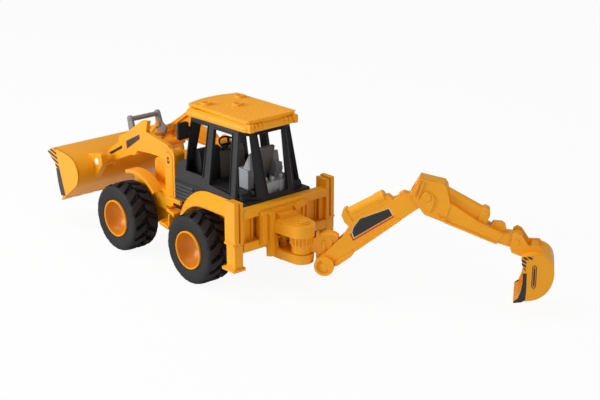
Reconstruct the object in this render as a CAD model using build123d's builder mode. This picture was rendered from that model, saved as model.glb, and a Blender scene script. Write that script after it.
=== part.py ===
"""Toy backhoe loader: front loader, cab, road wheels and a rear digging arm.

Millimetres, +Z up. The machine drives towards +X and its left side is +Y. The floor is Z = 0.
The origin is the centre of the footprint. The digging arm stands swung to the right, so the
machine's own zero, on the floor under the middle of the rear axle, lies beside the origin.
"""

import os
from math import cos, hypot, pi, radians, sin

from build123d import *

os.makedirs("parts", exist_ok=True)

# ---- driving dimensions ------------------------------------------------------------------

machine_x = 17.7  # machine zero, forward of the origin
machine_y = 37.8  # machine zero, left of the origin

wall = 1.8  # usual wall of the moulded shells
running = 0.35  # gap between moulded pieces that slide or turn past each other
pin_play = 0.06  # radial play of a turning pin in its bore
seat_play = 0.02  # radial play of a pin that is pushed home and stays

# wheels
tyre_radius = 31.0
tyre_width = 27.0
tyre_shoulder = 27.6  # radius of the smooth ring on the sidewall
rim_radius = 16.9
track_outside = 124.0  # over the outer faces of the tyres
wheelbase = 107.3
axle_radius = 1.5
lug_count = 16
lug_depth = 3.0

# chassis and body
chassis_half = 27.0
chassis_floor = 24.0
chassis_rim = 42.0
body_half = 31.5
body_front = 121.0
frame_rear = 55.7  # rear face of the rear frame, behind the machine zero
deck_z = 75.0
front_deck_z = 60.0
fender_thick = 2.0

# front mudguard
guard_radius = 40.5
guard_half = 40.0  # outer edge of the front mudguard, from the centre line
guard_from = 70.0
guard_to = 138.0

# rear fender
fender_half = 46.0  # outer edge of the rear fender
fender_lip_radius = 36.6
fender_top_radius = 46.0
fender_from = 32.0

# bonnet and loader towers
bonnet_half = 20.2
bonnet_front = 104.0
bonnet_top = 89.0
bonnet_nose = 83.0
tower_outer = 31.0
tower_front = 68.9
tower_depth = 13.1
tower_top = 99.6
loader_pivot_x = 64.8
loader_pivot_z = 90.9
pin_radius = 2.0

# loader
arm_outer = 28.0
arm_thick = 4.0
nose_radius = 6.0
tip_pivot_x = 162.5
tip_pivot_z = 67.6
handle_pivot_x = 138.5
handle_pivot_z = 89.5
handle_half = 15.4  # middle of each side plate of the yoke
loader_half = 62.0
shell = 2.0
ear_outer = 42.5
ear_thick = 6.4

# cab
cab_half = 36.6
cab_top_half = 27.0
cab_rear = 44.0
cab_top_z = 137.0
cab_wall = 2.2
roof_top = 146.5
roof_half = 30.5
roof_front = 42.0
roof_rear = 43.0
roof_eave = 136.0
roof_rib_count = 11
roof_rib = 0.9
roof_bevel = 4.2

# rear frame and stabilisers
beam_top = 76.0
beam_depth = 4.0
window_top = 69.2
window_bottom = 48.0
frame_bottom = 40.3
slot_wide = 2.6  # how far the slide groove runs behind each beam
groove_depth = 3.6
sleeve_inner = 46.0
sleeve_outer = 55.6
sleeve_front = 42.0
sleeve_bottom = 48.0
sleeve_top = 85.2
plate_top = 84.0
leg_foot_z = 25.0

# digging arm
side_shift = 5.0  # where the swing axis stands, left of the centre line
carriage_mid = 3.4
carriage_half = 26.2
swing_back = 80.9  # swing axis, behind the machine zero
swing_angle = -141.0
bracket_upper_top = 63.9
bracket_upper_bottom = 53.4
bracket_lower_top = 38.2
bracket_lower_bottom = 30.4
bracket_end_radius = 11.4
drum_radius = 10.0
post_radius = 8.4
tooth_count = 20
swing_pin_radius = 2.5
boom_foot_u = 20.1
boom_foot_z = 29.7
boom_length = 105.8
boom_angle = 38.05
boom_half = 5.0
boom_foot_half = 8.5
boom_wall = 1.7
foot_radius = 8.4
dipper_length = 80.4
dipper_angle = -24.9
dipper_half = 7.3
cheek = 1.85
tongue_half = 6.9
bucket_half = 20.5
bucket_back_half = 15.5
bucket_wall = 1.6
ear_gap = 7.7

# ---- planes ------------------------------------------------------------------------------


def level(z, x=0.0, y=0.0):
    """Level plane at height z: sketch x runs forward, sketch y runs left."""
    return Plane(origin=(machine_x + x, machine_y + y, z))


def side(y=0.0, x=0.0, z=0.0):
    """Upright lengthwise plane: sketch x runs forward, sketch y runs up."""
    return Plane(origin=(machine_x + x, machine_y + y, z), x_dir=(1, 0, 0), z_dir=(0, -1, 0))


def cross(x, y=0.0, z=0.0):
    """Upright crosswise plane that faces forward: sketch x runs left, sketch y runs up."""
    return Plane(origin=(machine_x + x, machine_y + y, z), x_dir=(0, 1, 0), z_dir=(1, 0, 0))


swing_x = cos(radians(swing_angle))
swing_y = sin(radians(swing_angle))


def arm_plane(u, z, angle=0.0, w=0.0):
    """Upright plane along the digging arm, u out from the swing axis, tilted up by angle."""
    a = radians(angle)
    foot = (machine_x - swing_back + u * swing_x + w * swing_y,
            machine_y + side_shift + u * swing_y - w * swing_x, z)
    return Plane(origin=foot, x_dir=(swing_x * cos(a), swing_y * cos(a), sin(a)),
                 z_dir=(swing_y, -swing_x, 0))


elbow_u = boom_foot_u + boom_length * cos(radians(boom_angle))
elbow_z = boom_foot_z + boom_length * sin(radians(boom_angle))
wrist_u = elbow_u + dipper_length * cos(radians(dipper_angle))
wrist_z = elbow_z + dipper_length * sin(radians(dipper_angle))


def boom_plane(w=0.0, x=0.0, z=0.0):
    """Plane of the boom: sketch x runs from the foot pin to the elbow pin."""
    a = radians(boom_angle)
    return arm_plane(boom_foot_u + x * cos(a) - z * sin(a),
                     boom_foot_z + x * sin(a) + z * cos(a), boom_angle, w)


def dipper_plane(w=0.0, x=0.0, z=0.0):
    """Plane of the dipper: sketch x runs from the elbow pin to the bucket pin."""
    a = radians(dipper_angle)
    return arm_plane(elbow_u + x * cos(a) - z * sin(a),
                     elbow_z + x * sin(a) + z * cos(a), dipper_angle, w)


def scoop_plane(w=0.0, x=0.0, z=0.0):
    """Plane of the dig bucket: sketch zero is the bucket pin."""
    return arm_plane(wrist_u + x, wrist_z + z, 0.0, w)


# ---- shared helpers ----------------------------------------------------------------------


def outline(*points):
    """Fill a straight-sided closed outline in the sketch that is open."""
    with BuildLine() as edge_line:
        Polyline(*points, close=True)
    make_face(edge_line.edges())


def finish(piece, label):
    """Name a finished piece and write its STEP file."""
    piece.part.label = label
    export_step(piece.part, f"parts/{label}.step")


hands = {"left": 1, "right": -1}
axle_z = tyre_radius
axles = {"rear": 0.0, "front": wheelbase}
hub_outer = track_outside / 2
hub_inner = hub_outer - tyre_width

# ---- wheels ------------------------------------------------------------------------------

half_tread = tyre_width / 2

with BuildPart() as tread:
    with BuildSketch(Plane.YZ):
        outline((-half_tread + 1.2, rim_radius), (half_tread - 1.2, rim_radius),
                (half_tread - 0.5, tyre_shoulder - 4), (half_tread, tyre_shoulder),
                (half_tread - 2.4, tyre_radius - 0.4), (half_tread - 6, tyre_radius),
                (-half_tread + 6, tyre_radius), (-half_tread + 2.4, tyre_radius - 0.4),
                (-half_tread, tyre_shoulder), (-half_tread + 0.5, tyre_shoulder - 4))
    revolve(axis=Axis.Y)
    for edge in (1, -1):
        for step in range(lug_count):
            turn = radians(360 / lug_count * (step + (0.7 if edge < 0 else 0.2)))
            base = tyre_radius - lug_depth
            with BuildSketch(Plane(origin=(base * cos(turn), 0, base * sin(turn)),
                                   x_dir=(-sin(turn), 0, cos(turn)), z_dir=(cos(turn), 0, sin(turn)))):
                outline((0, edge * 2.2), (2.2, edge * 2.2), (7.8, edge * (half_tread + 1)),
                        (3.4, edge * (half_tread + 1)))
    extrude(amount=lug_depth + 1, mode=Mode.SUBTRACT)

dish = hub_outer - 13.0  # bottom of the bowl of the hub
bowl_x = hub_outer + 2.75  # centre of the bowl
bowl = bowl_x - dish
for end, at in axles.items():
    with BuildPart() as axle:
        with BuildSketch(side(0, at, axle_z)):
            Circle(axle_radius)
        extrude(amount=dish - wall - 0.3, both=True)
    finish(axle, f"{end}_axle")
    for hand, sign in hands.items():
        with BuildPart() as tyre:
            with Locations((machine_x + at, machine_y + sign * (hub_outer - half_tread), axle_z)):
                add(tread.part)
        finish(tyre, f"tyre_{end}_{hand}")
        with BuildPart() as hub:
            with BuildSketch(cross(at, 0, axle_z)):
                with BuildLine() as outer:
                    Polyline((sign * (dish - wall), 0), (sign * dish, 0))
                    ThreePointArc((sign * dish, 0), (sign * (bowl_x - bowl * cos(radians(40))), bowl * sin(radians(40))),
                                  (sign * (hub_outer - 1), (bowl ** 2 - 3.75 ** 2) ** 0.5))
                    Polyline((sign * (hub_outer - 1), (bowl ** 2 - 3.75 ** 2) ** 0.5), (sign * (hub_outer + 0.3), 15.6),
                             (sign * (hub_outer + 0.3), rim_radius - 0.5), (sign * (hub_outer - 1.2), rim_radius - 0.05),
                             (sign * (hub_inner + 1.2), rim_radius - 0.05), (sign * (hub_inner + 1.2), rim_radius - 2.2),
                             (sign * 55.0, rim_radius - 2.2))
                    ThreePointArc((sign * 55.0, rim_radius - 2.2), (sign * 50.6, 10.5), (sign * 47.9, 4.6))
                    Polyline((sign * 47.9, 4.6), (sign * (hub_inner + 1.2), 4.6),
                             (sign * (hub_inner + 1.2), axle_radius + seat_play),
                             (sign * (dish - wall), axle_radius + seat_play), (sign * (dish - wall), 0))
                make_face(outer.edges())
            revolve(axis=Axis((machine_x + at, machine_y, axle_z), (0, 1, 0)))
        finish(hub, f"hub_{end}_{hand}")

# ---- chassis tub -------------------------------------------------------------------------

chassis_rear = 46.5
chassis_front = body_front - 3
screw_places = [(-36.0, 17.0), (-36.0, -17.0), (54.0, 0.0), (90.0, 17.0), (90.0, -17.0)]
screw_radius = 1.3
screw_head = 2.5
boss_reach = hub_inner + 0.8  # the bearing bosses stop just short of the hubs

tail_x = 18.0  # the floor starts to rise here, behind the machine zero
tail_z = 37.0
rear_boss_z = 33.0  # foot of the two rear screw bosses


def tub_side(inset):
    """Side outline of the tub with its rising tail, drawn in by the wall thickness."""
    outline((-chassis_rear + inset, chassis_rim + inset), (-chassis_rear + inset, tail_z + 0.8 * inset),
            (-tail_x + 0.3 * inset, chassis_floor + inset), (chassis_front - inset, chassis_floor + inset),
            (chassis_front - inset, chassis_rim + inset))


with BuildPart() as chassis:
    with BuildSketch(side()):
        tub_side(0)
    extrude(amount=chassis_half, both=True)
    fillet(chassis.edges().filter_by(Axis.Z), 3)
    with BuildSketch(side()):
        tub_side(wall)
    extrude(amount=chassis_half - wall, both=True, mode=Mode.SUBTRACT)
    for at in axles.values():
        for sign in hands.values():
            with BuildSketch(side(sign * boss_reach, at, axle_z)):
                Circle(4.2)
            extrude(amount=sign * 12)
            with BuildSketch(level(chassis_floor, at, sign * (boss_reach - 10.5))):
                Rectangle(1.8, 3)
            extrude(amount=axle_z - chassis_floor)
    for x, y in screw_places:
        foot = rear_boss_z if x < 0 else chassis_floor
        with BuildSketch(level(foot, x, y)):
            Circle(3.4)
        extrude(amount=chassis_rim - foot)
    for x in (20.0, 38.0, 72.0):
        with BuildSketch(level(chassis_floor, x)):
            Rectangle(1.6, 2 * chassis_half - wall)
        extrude(amount=7)
    for at in axles.values():
        with BuildSketch(side(0, at, axle_z)):
            Circle(axle_radius + pin_play)
        extrude(amount=boss_reach + 1, both=True, mode=Mode.SUBTRACT)
    for x, y in screw_places:
        foot = rear_boss_z if x < 0 else chassis_floor
        with BuildSketch(level(chassis_floor, x, y)):
            Circle(screw_radius + 0.1)
        extrude(amount=chassis_rim, mode=Mode.SUBTRACT)
        with BuildSketch(level(chassis_floor, x, y)):
            Circle(screw_head + 0.2)
        extrude(amount=foot - chassis_floor + 2.2, mode=Mode.SUBTRACT)
finish(chassis, "chassis")

with BuildPart() as screws:
    for x, y in screw_places:
        foot = rear_boss_z if x < 0 else chassis_floor
        with BuildSketch(level(foot + 0.6, x, y)):
            Circle(screw_head)
        extrude(amount=1.6)
        with BuildSketch(level(foot + 2.2, x, y)):
            Circle(screw_radius)
        extrude(amount=chassis_rim + 3.6 - foot)
finish(screws, "chassis_screws")

# ---- front body: deck, sides and mudguards -----------------------------------------------

front_body_rear = 50.0
front_mid = (body_front + front_body_rear) / 2
front_screws = [place for place in screw_places if place[0] > front_body_rear]
guard_inner = body_half - wall


def arch(inner, outer, first, last):
    """Fill a ring sector about the sketch zero, between two angles in degrees."""
    a = radians(first)
    b = radians(last)
    with BuildLine() as edge_line:
        CenterArc((0, 0), inner, first, last - first)
        CenterArc((0, 0), outer, first, last - first)
        Line((inner * cos(a), inner * sin(a)), (outer * cos(a), outer * sin(a)))
        Line((inner * cos(b), inner * sin(b)), (outer * cos(b), outer * sin(b)))
    make_face(edge_line.edges())


with BuildPart() as front_body:
    with BuildSketch(level(chassis_rim, front_mid)):
        Rectangle(body_front - front_body_rear, 2 * body_half)
    extrude(amount=front_deck_z - chassis_rim)
    fillet(front_body.edges().filter_by(Axis.Z).group_by(Axis.X)[-1], 5)
    with BuildSketch(level(chassis_rim, front_mid)):
        RectangleRounded(body_front - front_body_rear - 2 * wall, 2 * guard_inner, 5 - wall)
    extrude(amount=front_deck_z - chassis_rim - wall, mode=Mode.SUBTRACT)
    with BuildSketch(level(chassis_rim)):
        with Locations(*front_screws):
            Circle(3.4)
    extrude(amount=front_deck_z - chassis_rim)
    with BuildSketch(level(chassis_rim)):
        with Locations(*front_screws):
            Circle(screw_radius + seat_play)
    extrude(amount=6, mode=Mode.SUBTRACT)
    for sign in hands.values():
        # upright web from the deck to the guard
        with BuildSketch(side(sign * guard_inner, wheelbase, axle_z)):
            arch(front_deck_z - axle_z - 3, guard_radius, guard_from, guard_to)
        extrude(amount=-sign * wall)
        # the guard, with a rolled lip along its outer edge
        with BuildSketch(side(sign * guard_inner, wheelbase, axle_z)):
            arch(guard_radius - fender_thick, guard_radius, guard_from, guard_to)
        extrude(amount=-sign * (guard_half - guard_inner))
        with BuildSketch(side(sign * guard_half, wheelbase, axle_z)):
            arch(guard_radius - 3.4, guard_radius, guard_from, guard_to)
        extrude(amount=sign * 1.4)
finish(front_body, "front_body")

# ---- bonnet ------------------------------------------------------------------------------

with BuildPart() as bonnet:
    with BuildSketch(side()):
        outline((front_body_rear, front_deck_z), (front_body_rear, bonnet_top),
                (bonnet_front - 6, bonnet_nose), (bonnet_front, bonnet_nose - 6), (bonnet_front, front_deck_z))
    extrude(amount=bonnet_half, both=True)
    fillet(bonnet.edges().filter_by(Axis.Z).group_by(Axis.X)[-1], 3)
    fillet(bonnet.faces().sort_by(Axis.Z)[-1].edges().group_by(Axis.Y)[0], 3)
    fillet(bonnet.faces().sort_by(Axis.Z)[-1].edges().group_by(Axis.Y)[-1], 3)
    with BuildSketch(side()):
        outline((front_body_rear - 1, front_deck_z - 1), (front_body_rear - 1, bonnet_top - wall),
                (bonnet_front - 6.5, bonnet_nose - wall - 0.2), (bonnet_front - wall, bonnet_nose - 7),
                (bonnet_front - wall, front_deck_z - 1))
    extrude(amount=bonnet_half - wall - 0.6, both=True, mode=Mode.SUBTRACT)
    with BuildSketch(cross(bonnet_front, 0, (front_deck_z + bonnet_nose) / 2 - 2)):
        with GridLocations(0, 2.8, 1, 5):
            SlotOverall(2 * bonnet_half - 10, 1.3)
    extrude(amount=-wall / 2, mode=Mode.SUBTRACT)
    with BuildSketch(level(bonnet_top + 1, 62)):
        with GridLocations(3.2, 0, 5, 1):
            SlotOverall(18, 1.4, rotation=90)
    extrude(amount=-3.2, mode=Mode.SUBTRACT)
finish(bonnet, "bonnet")

# ---- loader towers -----------------------------------------------------------------------

tower_rear = tower_front - tower_depth
fork_outer = arm_outer + running
fork_inner = arm_outer - arm_thick - running
tower_inner = fork_inner - 2.6
pivot_eye = 5.6  # radius of the arm's rear eye

for hand, sign in hands.items():
    with BuildPart() as tower:
        with BuildSketch(side(sign * tower_inner)):
            with BuildLine():
                Polyline((tower_rear, tower_top - 4.6), (tower_rear, front_deck_z),
                         (tower_front, front_deck_z), (tower_front, tower_top - 5.6))
                ThreePointArc((tower_front, tower_top - 5.6),
                              (tower_front - 5.2, tower_top), (tower_rear, tower_top - 4.6))
            make_face()
        extrude(amount=-sign * (tower_outer - tower_inner))
        with BuildSketch(side(sign * fork_inner)):
            outline((tower_rear + 2.6, front_deck_z + 3), (tower_rear + 2.6, tower_top + 1),
                    (tower_front + 1, tower_top + 1), (tower_front + 1, front_deck_z + 3))
        extrude(amount=-sign * (fork_outer - fork_inner), mode=Mode.SUBTRACT)
        with BuildSketch(side(sign * tower_outer)):
            with Locations((tower_rear + 5.2, (front_deck_z + tower_top) / 2 - 4)):
                Rectangle(1.2, tower_top - front_deck_z - 14)
        extrude(amount=sign * 0.8, mode=Mode.SUBTRACT)
        with BuildSketch(side(0, loader_pivot_x, loader_pivot_z)):
            Circle(pin_radius + seat_play)
        extrude(amount=2 * tower_outer, both=True, mode=Mode.SUBTRACT)
    finish(tower, f"tower_{hand}")

with BuildPart() as loader_pins:
    for sign in hands.values():
        with BuildSketch(side(sign * tower_inner, loader_pivot_x, loader_pivot_z)):
            Circle(pin_radius)
        extrude(amount=-sign * (tower_outer - 0.8 - tower_inner))
finish(loader_pins, "loader_pivot_pins")

# ---- loader arms -------------------------------------------------------------------------

arm_inner = arm_outer - arm_thick
cross_x = 121.5
cross_z = 84.5
cross_radius = 3.6
knuckle_reach = ear_outer - ear_thick - running  # outer end of the boss between arm and bucket ear
arm_outline = (
    (loader_pivot_x, loader_pivot_z + pivot_eye), (71.5, 101.1), (103.3, 106.4), (100.6, 116.6),
    (109.6, 115.3), (136.0, 97.9), (146.4, 93.4), (146.8, 87.8), (165.0, 76.0), (168.2, 69.2),
    (165.8, 62.7), (128.2, 79.4), (122.0, 80.2), (117.5, 85.6), (98.3, 87.4), (84.0, 87.6),
    (loader_pivot_x, loader_pivot_z - pivot_eye))

for hand, sign in hands.items():
    with BuildPart() as arm:
        with BuildSketch(side(sign * arm_inner)):
            outline(*arm_outline)
            with Locations((loader_pivot_x, loader_pivot_z)):
                Circle(pivot_eye)
            with Locations((tip_pivot_x, tip_pivot_z)):
                Circle(nose_radius)
        extrude(amount=-sign * arm_thick)
        # weight-saving pocket on the inner face, left in two bays by a rib
        with BuildSketch(side(sign * arm_inner)):
            outline((74.0, 98.8), (105.6, 103.6), (103.6, 113.6), (108.0, 112.6), (126.0, 100.4),
                    (126.0, 82.6), (120.4, 88.2), (98.6, 89.8), (74.0, 90.2))
            outline((128.4, 99.0), (131.6, 97.0), (131.6, 93.0), (146.0, 84.0), (154.0, 78.6),
                    (154.0, 71.6), (128.4, 82.2))
            with Locations((cross_x, cross_z)):
                Circle(cross_radius + wall, mode=Mode.SUBTRACT)
            with Locations((handle_pivot_x, handle_pivot_z)):
                Circle(pin_radius + wall, mode=Mode.SUBTRACT)
        extrude(amount=-sign * (arm_thick - wall), mode=Mode.SUBTRACT)
        with BuildSketch(side(sign * arm_outer, tip_pivot_x, tip_pivot_z)):
            Circle(nose_radius - 0.5)
        extrude(amount=-sign * (knuckle_reach - arm_outer))
        with BuildSketch(side(0, loader_pivot_x, loader_pivot_z)):
            Circle(pin_radius + pin_play)
        extrude(amount=ear_outer, both=True, mode=Mode.SUBTRACT)
        with BuildSketch(side(0, tip_pivot_x, tip_pivot_z)):
            Circle(pin_radius + seat_play)
        extrude(amount=ear_outer, both=True, mode=Mode.SUBTRACT)
        with BuildSketch(side(0, handle_pivot_x, handle_pivot_z)):
            Circle(pin_radius + seat_play)
        extrude(amount=arm_outer - wall / 2, both=True, mode=Mode.SUBTRACT)
        with BuildSketch(side(0, cross_x, cross_z)):
            Circle(cross_radius + seat_play)
        extrude(amount=arm_outer - wall / 2, both=True, mode=Mode.SUBTRACT)
    finish(arm, f"loader_arm_{hand}")

with BuildPart() as cross_tube:
    with BuildSketch(side(0, cross_x, cross_z)):
        Circle(cross_radius)
        Circle(cross_radius - wall, mode=Mode.SUBTRACT)
    extrude(amount=arm_outer - wall / 2 - 0.05, both=True)
finish(cross_tube, "loader_cross_tube")

with BuildPart() as handle_shaft:
    with BuildSketch(side(0, handle_pivot_x, handle_pivot_z)):
        Circle(pin_radius)
    extrude(amount=arm_outer - wall / 2 - 0.05, both=True)
finish(handle_shaft, "tip_handle_shaft")

with BuildPart() as tip_pins:
    for sign in hands.values():
        with BuildSketch(side(sign * (arm_inner + 0.2), tip_pivot_x, tip_pivot_z)):
            Circle(pin_radius)
        extrude(amount=-sign * (ear_outer - 0.4 - arm_inner))
finish(tip_pins, "bucket_pivot_pins")

# ---- tip handle and links ----------------------------------------------------------------

link_radius = 1.4
bracket_x = 3.5  # link pin on the bucket bracket, from the bucket pivot
bracket_z = 8.8
handle_x = handle_pivot_x + bracket_x  # link pin on the handle: a parallelogram
handle_z = handle_pivot_z + bracket_z
bar_x = handle_pivot_x + 6.6
bar_z = handle_pivot_z + 17.5
plate_inner = handle_half - 1
plate_outer = handle_half + 1
link_outer = plate_inner - running
link_inner = link_outer - 1.8
bracket_outer = link_inner - running
bracket_inner = bracket_outer - 2

with BuildPart() as handle:
    for sign in hands.values():
        with BuildSketch(side(sign * plate_inner)):
            outline((bar_x - 1.8, bar_z), (bar_x + 1.8, bar_z), (handle_x + 3.2, handle_z + 1),
                    (handle_pivot_x + 5.6, handle_pivot_z + 0.5), (handle_pivot_x + 2, handle_pivot_z - 3.6),
                    (handle_pivot_x - 2.6, handle_pivot_z - 3.0), (handle_pivot_x - 6.6, handle_pivot_z + 5.4),
                    (handle_pivot_x - 4.8, handle_pivot_z + 7.4), (handle_x - 3.2, handle_z - 0.6))
        extrude(amount=-sign * (plate_outer - plate_inner))
    with BuildSketch(side(0, bar_x, bar_z)):
        Circle(1.9)
    extrude(amount=plate_outer, both=True)
    with BuildSketch(side(0, handle_pivot_x, handle_pivot_z)):
        Circle(pin_radius + pin_play)
    extrude(amount=plate_outer, both=True, mode=Mode.SUBTRACT)
    with BuildSketch(side(0, handle_x, handle_z)):
        Circle(link_radius + seat_play)
    extrude(amount=plate_outer, both=True, mode=Mode.SUBTRACT)
    fillet(handle.edges().filter_by(GeomType.LINE).filter_by(Axis.Y).group_by(Axis.Z)[0], 0.8)
finish(handle, "tip_handle")

with BuildPart() as links:
    for sign in hands.values():
        with BuildSketch(side(sign * link_inner)):
            with Locations((handle_x, handle_z)):
                Circle(2.6)
            with Locations((tip_pivot_x + bracket_x, tip_pivot_z + bracket_z)):
                Circle(2.6)
            rise = tip_pivot_z - handle_pivot_z
            run = tip_pivot_x - handle_pivot_x
            nx = -rise / hypot(run, rise) * 1.6
            nz = run / hypot(run, rise) * 1.6
            far_x = tip_pivot_x + bracket_x
            far_z = tip_pivot_z + bracket_z
            outline((handle_x + nx, handle_z + nz), (far_x + nx, far_z + nz),
                    (far_x - nx, far_z - nz), (handle_x - nx, handle_z - nz))
            with Locations((handle_x, handle_z), (far_x, far_z)):
                Circle(link_radius + pin_play, mode=Mode.SUBTRACT)
        extrude(amount=-sign * (link_outer - link_inner))
finish(links, "tip_links")

with BuildPart() as handle_pins:
    for sign in hands.values():
        with BuildSketch(side(sign * link_inner, handle_x, handle_z)):
            Circle(link_radius)
        extrude(amount=-sign * (plate_outer - link_inner))
finish(handle_pins, "handle_link_pins")

with BuildPart() as bracket_pins:
    for sign in hands.values():
        with BuildSketch(side(sign * bracket_inner, far_x, far_z)):
            Circle(link_radius)
        extrude(amount=-sign * (link_outer - bracket_inner))
finish(bracket_pins, "bracket_link_pins")

# ---- loader bucket -----------------------------------------------------------------------


def skin(points, thick):
    """Closed outline of a wall of even thickness on the left of an open chain of points."""
    normals = []
    for (ax, az), (bx, bz) in zip(points, points[1:]):
        span = hypot(bx - ax, bz - az)
        normals.append(((az - bz) / span, (bx - ax) / span))
    inner = []
    for index, (px, pz) in enumerate(points):
        before = normals[max(index - 1, 0)]
        after = normals[min(index, len(normals) - 1)]
        mx = before[0] + after[0]
        mz = before[1] + after[1]
        scale = thick / (mx * after[0] + mz * after[1])
        inner.append((px + mx * scale, pz + mz * scale))
    return inner


bucket_back = (
    (191.6, 29.0), (186.7, 32.8), (167.9, 47.6), (165.9, 54.6), (166.8, 61.6), (169.8, 66.4),
    (175.7, 71.2), (182.9, 72.9), (190.2, 73.9), (202.2, 74.6), (209.5, 74.1), (216.5, 69.6))
bucket_mouth = ((204.6, 60.6), (201.4, 57.4), (196.6, 43.0))
inner_back = skin(bucket_back, -shell)
ear_inner = ear_outer - ear_thick

with BuildPart() as loader_bucket:
    with BuildSketch(side()):
        outline(*bucket_back, *reversed(inner_back))
    extrude(amount=loader_half, both=True)
    for sign in hands.values():
        with BuildSketch(side(sign * (loader_half - shell))):
            outline(*bucket_back, *bucket_mouth, (193.4, 31.15))
        extrude(amount=-sign * shell)
        with BuildSketch(side(sign * ear_inner)):
            outline((179.0, 71.6), (155.4, 77.2), (153.4, 75.0), (153.0, 67.8), (168.0, 48.6),
                    (169.0, 50.0), (167.9, 54.6), (168.7, 61.0), (171.2, 64.8), (176.4, 69.0))
        extrude(amount=-sign * ear_thick)
        with BuildSketch(side(sign * bracket_inner)):
            outline((182.0, 72.2), (169.0, far_z + 3.4), (far_x - 3.0, far_z + 3.4),
                    (far_x - 3.6, far_z - 3.2), (168.2, 66.8), (171.2, 66.8), (176.4, 70.2))
        extrude(amount=-sign * (bracket_outer - bracket_inner))
    with BuildSketch(side(0, tip_pivot_x, tip_pivot_z)):
        Circle(pin_radius + pin_play)
    extrude(amount=loader_half - 4, both=True, mode=Mode.SUBTRACT)
    with BuildSketch(side(0, far_x, far_z)):
        Circle(link_radius + seat_play)
    extrude(amount=bracket_outer + 1, both=True, mode=Mode.SUBTRACT)
    # stiffening beads pressed into the back
    for y in (-50.0, -24.0, 0.0, 24.0, 50.0):
        with BuildSketch(side(y)):
            outline((170.0, 45.9), (184.6, 34.5), (185.2, 35.4), (170.0, 47.4))
        extrude(amount=1.2, both=True)
finish(loader_bucket, "loader_bucket")

lip_x = (195.9 - 186.7) / hypot(195.9 - 186.7, 25.4 - 32.8)
lip_z = (25.4 - 32.8) / hypot(195.9 - 186.7, 25.4 - 32.8)
with BuildPart() as cutting_edge:
    with BuildSketch(side(0, 191.6, 29.0)):
        start = 0.05
        end = 5.4
        outline((lip_x * start, lip_z * start), (lip_x * end, lip_z * end),
                (lip_x * end - lip_z * 1.2, lip_z * end + lip_x * 1.2),
                (lip_x * start - lip_z * 2.6, lip_z * start + lip_x * 2.6))
    extrude(amount=loader_half, both=True)
    # shallow teeth across the front
    with BuildSketch(level(20.0, 196.8)):
        with GridLocations(0, 2 * loader_half / 10, 1, 9):
            Rectangle(3.4, 5.0)
    extrude(amount=14, mode=Mode.SUBTRACT)
finish(cutting_edge, "loader_cutting_edge")

# ---- rear body: arches, fenders and deck -------------------------------------------------

rear_half = 33.0
front_half_cab = 36.8  # inner edge of the fender tops, against the cab side
liner_low = fender_lip_radius - 2.0
arch_rear = sleeve_front
liner_inner = rear_half - 0.1


def fender_section(sign, closed):
    """Section of the fender in the crosswise plane through the rear axle."""
    lip = fender_half
    top = fender_top_radius
    if closed:
        points = ((liner_inner, liner_low), (lip, liner_low), (lip, fender_lip_radius + 0.4),
                  (lip - 1.4, fender_lip_radius + 2), (front_half_cab, top), (front_half_cab, liner_low + 1.8),
                  (liner_inner, liner_low + 1.8))
    else:
        points = ((liner_inner, liner_low), (lip, liner_low), (lip, fender_lip_radius + 0.4),
                  (lip - 1.4, fender_lip_radius + 2), (front_half_cab, top), (front_half_cab, top - 2.8),
                  (lip - 3.4, liner_low + 1.8), (liner_inner, liner_low + 1.8))
    outline(*[(sign * y, r) for y, r in points])


with BuildPart() as rear_body:
    body_long = front_body_rear + chassis_rear
    body_mid = (front_body_rear - chassis_rear) / 2
    with BuildSketch(level(chassis_rim, body_mid)):
        Rectangle(body_long, 2 * rear_half)
    extrude(amount=deck_z - 0.7 - chassis_rim)
    with BuildSketch(level(chassis_rim, body_mid)):
        Rectangle(body_long - 2 * wall, 2 * (rear_half - wall))
    extrude(amount=deck_z - 0.7 - chassis_rim - wall, mode=Mode.SUBTRACT)
    rear_screws = [place for place in screw_places if place[0] < 0]
    with BuildSketch(level(chassis_rim)):
        with Locations(*rear_screws):
            Circle(3.4)
    extrude(amount=deck_z - 2 - chassis_rim)
    with BuildSketch(level(chassis_rim)):
        with Locations(*rear_screws):
            Circle(screw_radius + seat_play)
    extrude(amount=6, mode=Mode.SUBTRACT)
    axis = Axis((machine_x, machine_y, axle_z), (0, -1, 0))
    for sign in hands.values():
        with BuildSketch(cross(0, 0, axle_z)):
            fender_section(sign, False)
        revolve(axis=axis, revolution_arc=-(90 - fender_from))
        with BuildSketch(cross(0, 0, axle_z)):
            fender_section(sign, False)
        extrude(amount=-(arch_rear - 0.05))
        with BuildSketch(cross(-arch_rear + 1.8, 0, axle_z)):
            fender_section(sign, True)
        extrude(amount=-1.7)
        tilt = radians(fender_from)
        with BuildSketch(Plane(origin=(machine_x, machine_y, axle_z), x_dir=(0, 1, 0),
                               z_dir=(sin(tilt), 0, -cos(tilt)))):
            outline(*[(sign * y, r) for y, r in (
                (liner_inner, liner_low), (fender_half, liner_low), (fender_half, fender_lip_radius + 0.4),
                (fender_half - 1.4, fender_lip_radius + 2), (front_half_cab, fender_top_radius),
                (front_half_cab, liner_low + 1.8), (liner_inner, liner_low + 1.8))])
        extrude(amount=-1.8)
finish(rear_body, "rear_body")

# ---- side panels and footsteps -----------------------------------------------------------

panel_outer = 36.2
panel_front = 56.0
panel_bottom = 50.0
panel_clear = fender_lip_radius + 0.3
panel_low = ((panel_clear ** 2 - (panel_bottom - axle_z) ** 2) ** 0.5, panel_bottom)
panel_high = (18.4, axle_z + (panel_clear ** 2 - 18.4 ** 2) ** 0.5)
panel_knee = (panel_clear * cos(radians(46)), axle_z + panel_clear * sin(radians(46)))

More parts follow.
